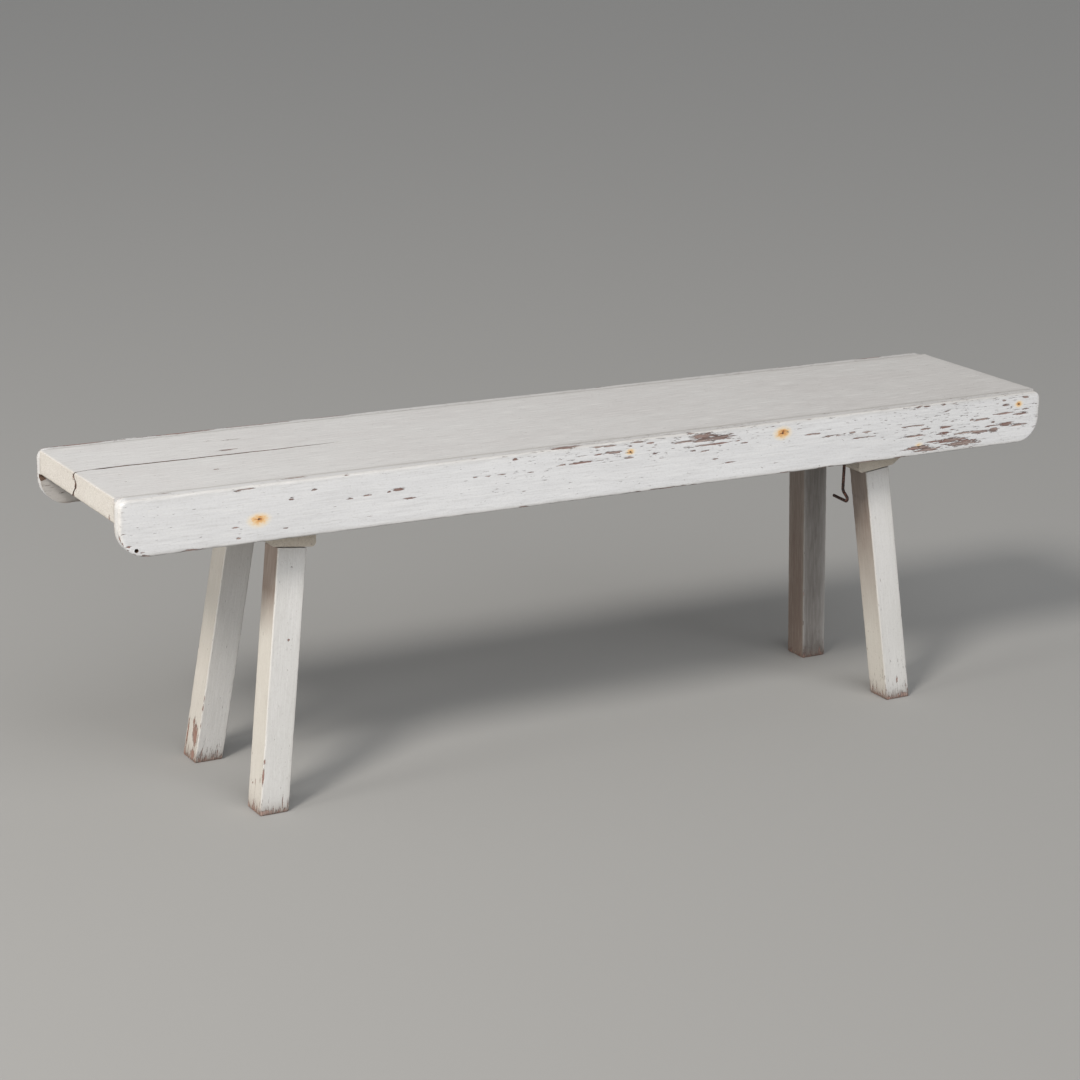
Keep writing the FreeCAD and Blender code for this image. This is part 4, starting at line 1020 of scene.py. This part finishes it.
rail_paint = worn_white_paint("flaking_white_oil_paint_on_pine", "#DCDCDD", "#D7D7D8", 0.42)
for row_word, side, rust_rows in (
    ("front", -1, (FRONT_SEAT_RUST_MM, FRONT_BEARER_RUST_MM)),
    ("rear", 1, (REAR_SEAT_RUST_MM, REAR_BEARER_RUST_MM)),
):
    node_name = f"{row_word}_rail"
    low, high = box_mm(node_name)
    nails = []
    for kind, rust_row in zip(("seat", "bearer"), rust_rows):
        nails += zip(nail_places(f"{row_word}_{kind}_nails", side), rust_row)
    lines = [
        grid_lines(low[axis], high[axis], RAIL_PITCH_MM[axis], RAIL_ARRIS_MM, close)
        for axis, close in ((0, [where[0] for where, _ in nails]), (1, ()), (2, ()))
    ]
    points, faces = grid_board(lines)
    points, rim, depth = rail_form(points, low, high, side)
    rail = make_piece(f"worn_{node_name}", points, faces)
    for where, (*_, strength) in nails:
        cut_out(rail, *nail_pocket(where, side, strength))
    if side < 0:
        hole = [(OLD_HOLE_MM / 2, -OVERRUN_MM), (OLD_HOLE_MM / 2, rail_thickness + OVERRUN_MM)]
        hole_place = (low[0] + OLD_HOLE_INSET_MM, low[1], low[2] + OLD_HOLE_RISE_MM)
        cut_out(rail, driven(turned_solid("old_hole", hole, 24, 0.1), hole_place, side))
    else:
        length, deep, drop = CHIP_MM
        outline = (
            (-OVERRUN_MM, 0.3),
            (length * 0.5, 0.3),
            (length * 0.62, -drop * 0.35),
            (length, -drop * 0.7),
            (length * 0.45, -drop * 0.85),
            (-OVERRUN_MM, -drop),
        )
        rows = []
        for y, shrink in ((low[1] - OVERRUN_MM, 1.15), (low[1], 1.0), (low[1] + deep, 0.55)):
            rows.append([(low[0] + x * shrink, y, seat_underside + z * shrink) for x, z in outline])
        cut_out(rail, stacked("chip", rows))

    place = points_of(rail)
    along, height = place[:, 0], place[:, 2]
    from_top, from_foot = high[2] - height, height - low[2]
    from_end = np.minimum(along - low[0], high[0] - along)
    outer, inner = (low[1], high[1]) if side < 0 else (high[1], low[1])
    behind = np.abs(place[:, 1] - inner)
    on_back = behind < 0.5
    over_joint = (height > seat_underside - 2) * np.clip(1 - behind / 5, 0, 1)
    rust = np.zeros(len(place))
    for where, (spread_along, spread_up, spread_down, strength) in nails:
        up = height - where[2]
        reach = np.hypot((along - where[0]) / spread_along, up / np.where(up > 0, spread_up, spread_down))
        on_face = np.abs(place[:, 1] - outer) < RAIL_ARRIS_MM
        rust = np.maximum(rust, strength * np.clip(1 - reach, 0, 1) ** 1.2 * on_face)
    if side < 0:
        spots = [(x, low[1], z, a, 6, 0.9 * c) for x, z, a, c in FRONT_FLAKES_MM]
        spots += FRONT_EDGE_SPOTS
        # Crumbs of paint have come off all along the upper half, and most near the right end
        base = np.interp(along, *FRONT_BASE_WEAR)
        base -= 0.05 * np.clip((np.interp(along, *FRONT_CLEAN_MM) - height) / 8, 0, 1)
        base += 0.02 * np.exp(-(((from_top - 3) / 3) ** 2)) * (np.abs(along) < 350)
        base += 0.01 * np.exp(-((from_foot / 3) ** 2))
        base -= 0.03 * (along > 600) * (height < 386)
    else:
        spots = REAR_EDGE_SPOTS + REAR_FACE_SPOTS
        base = 0.12
    # Dirt lies along the seat's joint, on the back and towards the left end. The dark band on the lower
    # edge is painted shade on its downward-facing arris.
    grime = 0.35 * np.exp(-behind / 1.2) * over_joint
    grime += 0.3 * on_back * (over_joint == 0)
    grime += 0.08 * np.clip((-200 - along) / 450, 0, 1)
    grime += 0.6 * np.exp(-((from_foot / 1.6) ** 2))
    mark_wear(
        rail,
        place if side < 0 else place + (400, 0, 200),
        wear=flaked(place, spots, base),
        ridge=np.exp(-((edge_distance(place, low, high) / RAIL_ARRIS_MM) ** 2)),
        rust=rust,
        grime=grime,
        shelter=over_joint,
        # The back is yellowed; the ends' warm tint is painted warm light.
        yellowing=0.5 * on_back + 0.3 * np.exp(-from_end / 2),
        # The top edge is painted darker towards the right: shade from the light's falloff, with some
        # greying from sitting.
        use=np.clip(1 - from_top / 2, 0, 1) * np.interp(along, (-650, 50), (0.1, 0.7)),
    )
    dress(rail, node_name, rail_paint, 11.0)

# The nails. Seven old wire nails with flat heads go in through each rail, five into the plank's
# edge and two into the bearers' ends. They are plain iron, rusted, and punched just under the face.
NAIL_POINT_MM = 5.0
RUST_MOTTLE_MM = 3.0
RUST_GRIT_MM = 0.6
NAIL_PITS_MM = 1.6


def rusted_iron(name, bright, deep, crust, metal=0.0, rough=0.85):
    """Iron that has rusted in the weather. It gives the eye a matt brown crust, mottled over a few
    millimetres, that is orange where it is fresh and nearly black where it is old."""
    finish, tree = new_material(name)
    place = add_node(tree, "ShaderNodeTexCoord", result="Object")
    mottle, grit = (
        add_node(tree, "ShaderNodeTexNoise", {"Vector": place, "Scale": 1 / (size * MM), "Detail": detail})
        for size, detail in ((RUST_MOTTLE_MM, 5.0), (RUST_GRIT_MM, 2.0))
    )
    hue = add_node(tree, "ShaderNodeValToRGB", {0: mottle})
    tones = hue.node.color_ramp.elements
    tones[0].position, tones[1].position = 0.34, 0.7
    tones.new(0.52)
    for tone, colour in zip(tones, (deep, crust, bright)):
        tone.color = linear(colour)
    height = add_node(tree, "ShaderNodeMath", {0: mottle, 1: grit}, operation="ADD")
    bump = add_node(tree, "ShaderNodeBump", {"Strength": 0.7, "Distance": 0.2 * MM, "Height": height})
    set_surface(tree, {"Base Color": hue, "Metallic": metal, "Roughness": rough, "Normal": bump})
    return finish


def make_nailing():
    """The tree that drives a nail at each of a piece's points and pits the iron."""
    tree, given = start_tree("driven_nails", "Places", "Pitting", Nail="Object", Turn="Vector")
    nail = add_node(tree, "GeometryNodeObjectInfo", {"Object": given["Nail"]}, result="Geometry")
    spots = add_node(tree, "GeometryNodeMeshToPoints", {"Mesh": given["Places"]})
    turn = add_node(tree, "FunctionNodeEulerToRotation", {"Euler": given["Turn"]})
    nails = {"Points": spots, "Instance": nail, "Rotation": turn}
    nails = add_node(tree, "GeometryNodeInstanceOnPoints", nails)
    nails = add_node(tree, "GeometryNodeRealizeInstances", {"Geometry": nails})
    place = add_node(tree, "GeometryNodeInputPosition")
    pits = grain_pattern(tree, place, [NAIL_PITS_MM * MM] * 3, {"Detail": 2.0})
    depth = add_node(tree, "ShaderNodeMath", {0: pits, 1: given["Pitting"]}, operation="MULTIPLY")
    end_tree(tree, nails, depth, given["Finish"])
    return tree


nailing = make_nailing()
nail_iron = rusted_iron("rusted_iron_nails", bright="#B5652C", deep="#3A241A", crust="#6E3F22")
head_radius, head_depth = NAIL_HEAD_MM[0] / 2, NAIL_HEAD_MM[1]
shank_radius = NAIL_SHANK_MM / 2
nail_profile = [
    (head_radius * 0.3, HEAD_SUNK_MM + 0.1),
    (head_radius * 0.75, HEAD_SUNK_MM),
    (head_radius * 0.95, HEAD_SUNK_MM + 0.1),
    (head_radius, HEAD_SUNK_MM + 0.35),
    (head_radius * 0.97, HEAD_SUNK_MM + head_depth),
    (shank_radius * 1.15, HEAD_SUNK_MM + head_depth + 0.05),
]
# The rings that a wire nail's shank is marked with under its head
for ring in range(5):
    start = HEAD_SUNK_MM + head_depth + 1.0 + 1.2 * ring
    nail_profile += [(shank_radius, start), (shank_radius * 0.88, start + 0.3), (shank_radius, start + 0.6)]
nail_profile += [(shank_radius, rise) for rise in np.arange(12, NAIL_MM - NAIL_POINT_MM, 4)]
nail_profile += [
    (shank_radius, NAIL_MM - NAIL_POINT_MM),
    (shank_radius * 0.6, NAIL_MM - NAIL_POINT_MM * 0.4),
    (0.3, NAIL_MM),
]
pattern_nail = turned_solid("pattern_nail", nail_profile, 24)
for row_word, side in ROWS:
    for kind in ("seat", "bearer"):
        node_name = f"{row_word}_{kind}_nails"
        nails = make_piece(f"rusted_{node_name}", nail_places(node_name, side), [])
        turn = (side * math.pi / 2, 0.0, 0.0)
        run_tree(nails, nailing, Nail=pattern_nail, Turn=turn, Pitting=0.08, Finish=nail_iron)
        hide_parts(node_name)
        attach(nails, "bench")
bpy.data.objects.remove(pattern_nail)

# The screw eye. A ring bent from iron wire stands out of the seat's underside near the right end.
# Its shank is cut with a wood screw's thread and is screwed 18 mm into the plank.
EYE_RADIUS_MM = 7.0
EYE_NECK_MM = 4.0
LOOP_END = math.radians(230)
BEND_STEP = math.radians(6)
THREAD_MM = (1.6, 0.42)  # pitch and depth
WIRE_PITS_MM = 2.2
WIRE_SIDES = 24
GROOVE_STEEPNESS = 3.0  # how soon a thread's groove is at its full depth, by turns of the thread


def arc(middle, radius, start, end):
    """Points along an arc in a plane, from one angle to another."""
    angles = np.linspace(start, end, max(2, math.ceil(abs(end - start) / BEND_STEP) + 1))
    return [(middle[0] + radius * math.cos(a), middle[1] + radius * math.sin(a)) for a in angles]


def bent_ring(middle, radius, neck, way):
    """A wire's ring and its neck, from its free end to where the shank starts, up or down."""
    rise = math.sqrt(radius ** 2 + 2 * radius * neck)
    meeting = math.atan2(rise, neck)
    start = 2 * math.pi - LOOP_END
    ring = arc((0, 0), radius, start, meeting - 2 * math.pi)
    ring += arc((neck, rise), neck, math.pi + meeting, math.pi)[1:]
    return [(across, middle + way * up) for across, up in ring]


def make_wire_bending():
    """The tree that bends a wire along a route, cuts a thread into its end and pits its surface."""
    numbers = ("Wire", "Step", "Pitting", "Thread start", "Thread pitch", "Thread depth")
    tree, given = start_tree("bent_iron_wire", "Route", *numbers)
    metres = {}
    for name, unit in (("Wire", MM / 2), ("Step", MM), ("Thread start", MM), ("Thread pitch", MM)):
        metres[name] = add_node(tree, "ShaderNodeMath", {0: given[name], 1: unit}, operation="MULTIPLY")
    route = add_node(tree, "GeometryNodeMeshToCurve", {"Mesh": given["Route"]})
    route = {"Curve": route, "Length": metres["Step"]}
    route = add_node(tree, "GeometryNodeResampleCurve", route, mode="LENGTH")
    section = {"Resolution": WIRE_SIDES, "Radius": metres["Wire"]}
    section = add_node(tree, "GeometryNodeCurvePrimitiveCircle", section)
    kept = []
    for curve, measure in ((route, "Length"), (section, "Factor")):
        keeper = add_node(tree, "GeometryNodeCaptureAttribute").node
        keeper.capture_items.new("FLOAT", measure)
        tree.links.new(curve, keeper.inputs[0])
        tree.links.new(add_node(tree, "GeometryNodeSplineParameter", result=measure), keeper.inputs[1])
        kept += [keeper.outputs[0], keeper.outputs[1]]
    route, along, section, around = kept
    bar = {"Curve": route, "Profile Curve": section, "Fill Caps": True}
    bar = add_node(tree, "GeometryNodeCurveToMesh", bar)
    # The thread: a groove that turns once in each pitch, from where it starts to the end
    groove = along
    for operation, value in (
        ("DIVIDE", metres["Thread pitch"]),
        ("ADD", around),
        ("PINGPONG", 0.5),
        ("MULTIPLY", GROOVE_STEEPNESS),
        ("MINIMUM", 1.0),
        ("MULTIPLY", given["Thread depth"]),
    ):
        groove = add_node(tree, "ShaderNodeMath", {0: groove, 1: value}, operation=operation)
    threaded = {0: along, 1: metres["Thread start"]}
    threaded = add_node(tree, "ShaderNodeMath", threaded, operation="GREATER_THAN")
    place = add_node(tree, "GeometryNodeInputPosition")
    pits = grain_pattern(tree, place, [WIRE_PITS_MM * MM] * 3, {"Detail": 2.0})
    depth = add_node(tree, "ShaderNodeMath", {0: pits, 1: given["Pitting"]}, operation="MULTIPLY")
    depth = {0: groove, 1: threaded, 2: depth}
    depth = add_node(tree, "ShaderNodeMath", depth, operation="MULTIPLY_ADD")
    end_tree(tree, bar, depth, given["Finish"])
    return tree


wire_bending = make_wire_bending()


def bent_wire(name, route, finish, **sizes):
    """A wire bent along a route, given in millimetres from the hook's pivot."""
    edges = [(n, n + 1) for n in range(len(route) - 1)]
    piece = make_piece(name, np.array(route) + pivot, [], edges)
    run_tree(piece, wire_bending, Finish=finish, **sizes)
    return piece


eye_iron = rusted_iron(
    "rusted_iron_wire_eye", bright="#6A4630", deep="#1E1714", crust="#3A2A22", metal=0.3, rough=0.6
)
eye_route = bent_ring(EYE_RADIUS_MM, EYE_RADIUS_MM, EYE_NECK_MM, 1)
eye_route.append((0.0, seat_underside - pivot[2] + EYE_DEPTH_MM))
eye_length = sum(math.dist(one, two) for one, two in zip(eye_route, eye_route[1:]))
eye = bent_wire(
    "threaded_screw_eye",
    [(across, 0.0, up) for across, up in eye_route],
    eye_iron,
    Wire=EYE_WIRE_MM,
    Step=0.2,
    Pitting=0.1,
    Thread_start=eye_length - EYE_DEPTH_MM,
    Thread_pitch=THREAD_MM[0],
    Thread_depth=THREAD_MM[1],
)
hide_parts("hook_eye")
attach(eye, "bench")

# The hook. A length of iron wire, closed into a loop round the screw eye, hangs straight down and
# is kicked forward and turned back at its foot to make a finger. It has gone dark brown.
HOOK_WIRE_MM = 4.6
HOOK_LOOP_MM = 6.5
HOOK_NECK_MM = 5.0
HOOK_PLAY_MM = 0.6
HOOK_SHANK_MM = 77.8
HOOK_FOOT_MM = ((-20.1, -91.9), (20.3, -90.1))
HOOK_BENDS_MM = (8.0, 3.6)


def rounded(points, radii):
    """Straight runs through points with an arc of the given radius at each inner point."""
    route = [points[0]]
    for before, corner, after, radius in zip(points, points[1:], points[2:], radii):
        before, corner, after = (np.array(point, float) for point in (before, corner, after))
        back = (before - corner) / np.linalg.norm(before - corner)
        on = (after - corner) / np.linalg.norm(after - corner)
        half = math.acos(np.clip(back @ on, -1, 1)) / 2
        middle = corner + (back + on) / np.linalg.norm(back + on) * radius / math.sin(half)
        first = corner + back * radius / math.tan(half) - middle
        last = corner + on * radius / math.tan(half) - middle
        start = math.atan2(first[1], first[0])
        sweep = math.remainder(math.atan2(last[1], last[0]) - start, 2 * math.pi)
        route += arc(middle, radius, start, start + sweep)
    return route + [points[-1]]


hook_iron = rusted_iron(
    "dark_rusted_iron_hook", bright="#7C5342", deep="#1A1412", crust="#43302A", metal=0.2, rough=0.6
)
loop_middle = (HOOK_WIRE_MM + EYE_WIRE_MM) / 2 + HOOK_PLAY_MM - HOOK_LOOP_MM
hook_ring = bent_ring(loop_middle, HOOK_LOOP_MM, HOOK_NECK_MM, -1)
hook_route = hook_ring[:-1] + rounded([hook_ring[-1], (0, -HOOK_SHANK_MM), *HOOK_FOOT_MM], HOOK_BENDS_MM)
hook = bent_wire(
    "dark_wire_hook",
    [(0.0, across, up) for across, up in hook_route],
    hook_iron,
    Wire=HOOK_WIRE_MM,
    Step=0.5,
    Pitting=0.25,
    Thread_start=1000.0,  # past the hook's end, so it has no thread
    Thread_pitch=1.0,
    Thread_depth=0.0,
)
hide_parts("wire_hook")
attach(hook, "hook")

# The floor. A plain pale grey sheet of studio floor takes the bench's shadow.
FLOOR_HALF_M = 30.0
floor_points = [(x * FLOOR_HALF_M, y * FLOOR_HALF_M, 0.0) for x, y in SQUARE_CORNERS]
floor = make_piece("studio_floor", np.array(floor_points) / MM, [(0, 1, 2, 3)])
floor_finish, tree = new_material("pale_matt_studio_floor")
set_surface(tree, {"Base Color": linear("#A09F9D"), "Roughness": 0.9})
floor.data.materials.append(floor_finish)

# The light. A big soft box stands high on the left, a small one low beside the left end, a wide
# soft sun fills from the front and above, and the room is a plain pale grey.
SOFT_BOXES = (
    ("key_box", (-6.0, -3.6, 6.2), 2.1, 0.66, "#FFFAF3"),
    ("low_box", (-4.4, -0.5, 0.95), 1.2, 0.34, "#FFFDF9"),
)
FILL_LEVEL = 0.54
ROOM_LEVEL = 0.23
BOX_TARGET = Vector((0.0, 0.0, 0.3))
for name, spot, size, level, hue in SOFT_BOXES:
    lamp = put_in_scene(name, bpy.data.lights.new(name, "AREA"))
    towards = BOX_TARGET - Vector(spot)
    lamp.data.shape = "DISK"
    lamp.data.size = size
    lamp.data.energy = level * math.pi ** 2 * towards.length_squared
    lamp.data.color = linear(hue)[:3]
    lamp.location = spot
    lamp.rotation_euler = towards.to_track_quat("-Z", "Y").to_euler()
fill = put_in_scene("fill", bpy.data.lights.new("fill", "SUN"))
fill.data.energy = FILL_LEVEL * math.pi
fill.data.angle = math.radians(60)
fill.data.color = linear("#FBFDFF")[:3]
fill.rotation_euler = Vector((-0.08, -0.78, 0.62)).to_track_quat("Z", "Y").to_euler()
world = bpy.data.worlds.new("pale_room")
world.use_nodes = True
room = world.node_tree
room.nodes.clear()
rays = add_node(room, "ShaderNodeLightPath").node.outputs
seen = rays["Is Camera Ray"]
for ray in ("Is Glossy Ray", "Is Transmission Ray"):
    seen = add_node(room, "ShaderNodeMath", {0: seen, 1: rays[ray]}, operation="MAXIMUM")
lit = add_node(room, "ShaderNodeBackground", {"Color": linear("#F4F5F7"), "Strength": ROOM_LEVEL})
backdrop = add_node(room, "ShaderNodeBackground", {"Color": linear("#A3A2A1"), "Strength": 1.0})
sky = add_node(room, "ShaderNodeMixShader", {0: seen, 1: lit, 2: backdrop})
add_node(room, "ShaderNodeOutputWorld", {"Surface": sky})
bpy.context.scene.world = world
bpy.context.scene.view_settings.view_transform = "Standard"

# The camera stands to the left in front of the bench, as the photograph's did, and is rolled a
# little. Its place was fitted to the bench's own edges.
CAMERA_AZIMUTH = math.radians(30.594)
CAMERA_ELEVATION = math.radians(16.303)
CAMERA_ROLL = math.radians(1.5037)
CAMERA_DISTANCE_M = 3.6734
CAMERA_TARGET = Vector((-0.0408, 0.0, 0.2726))
turned = Matrix.Rotation(-CAMERA_AZIMUTH, 4, "Z")
turned @= Matrix.Rotation(math.pi / 2 - CAMERA_ELEVATION, 4, "X")
turned @= Matrix.Rotation(CAMERA_ROLL, 4, "Z")
backwards = turned.col[2].to_3d()
camera = put_in_scene("camera", bpy.data.cameras.new("camera"))
camera.data.lens = 90.11
camera.data.sensor_width = 36.0
camera.data.clip_end = 200.0
camera.matrix_world = Matrix.Translation(CAMERA_TARGET + backwards * CAMERA_DISTANCE_M) @ turned
bpy.context.scene.camera = camera
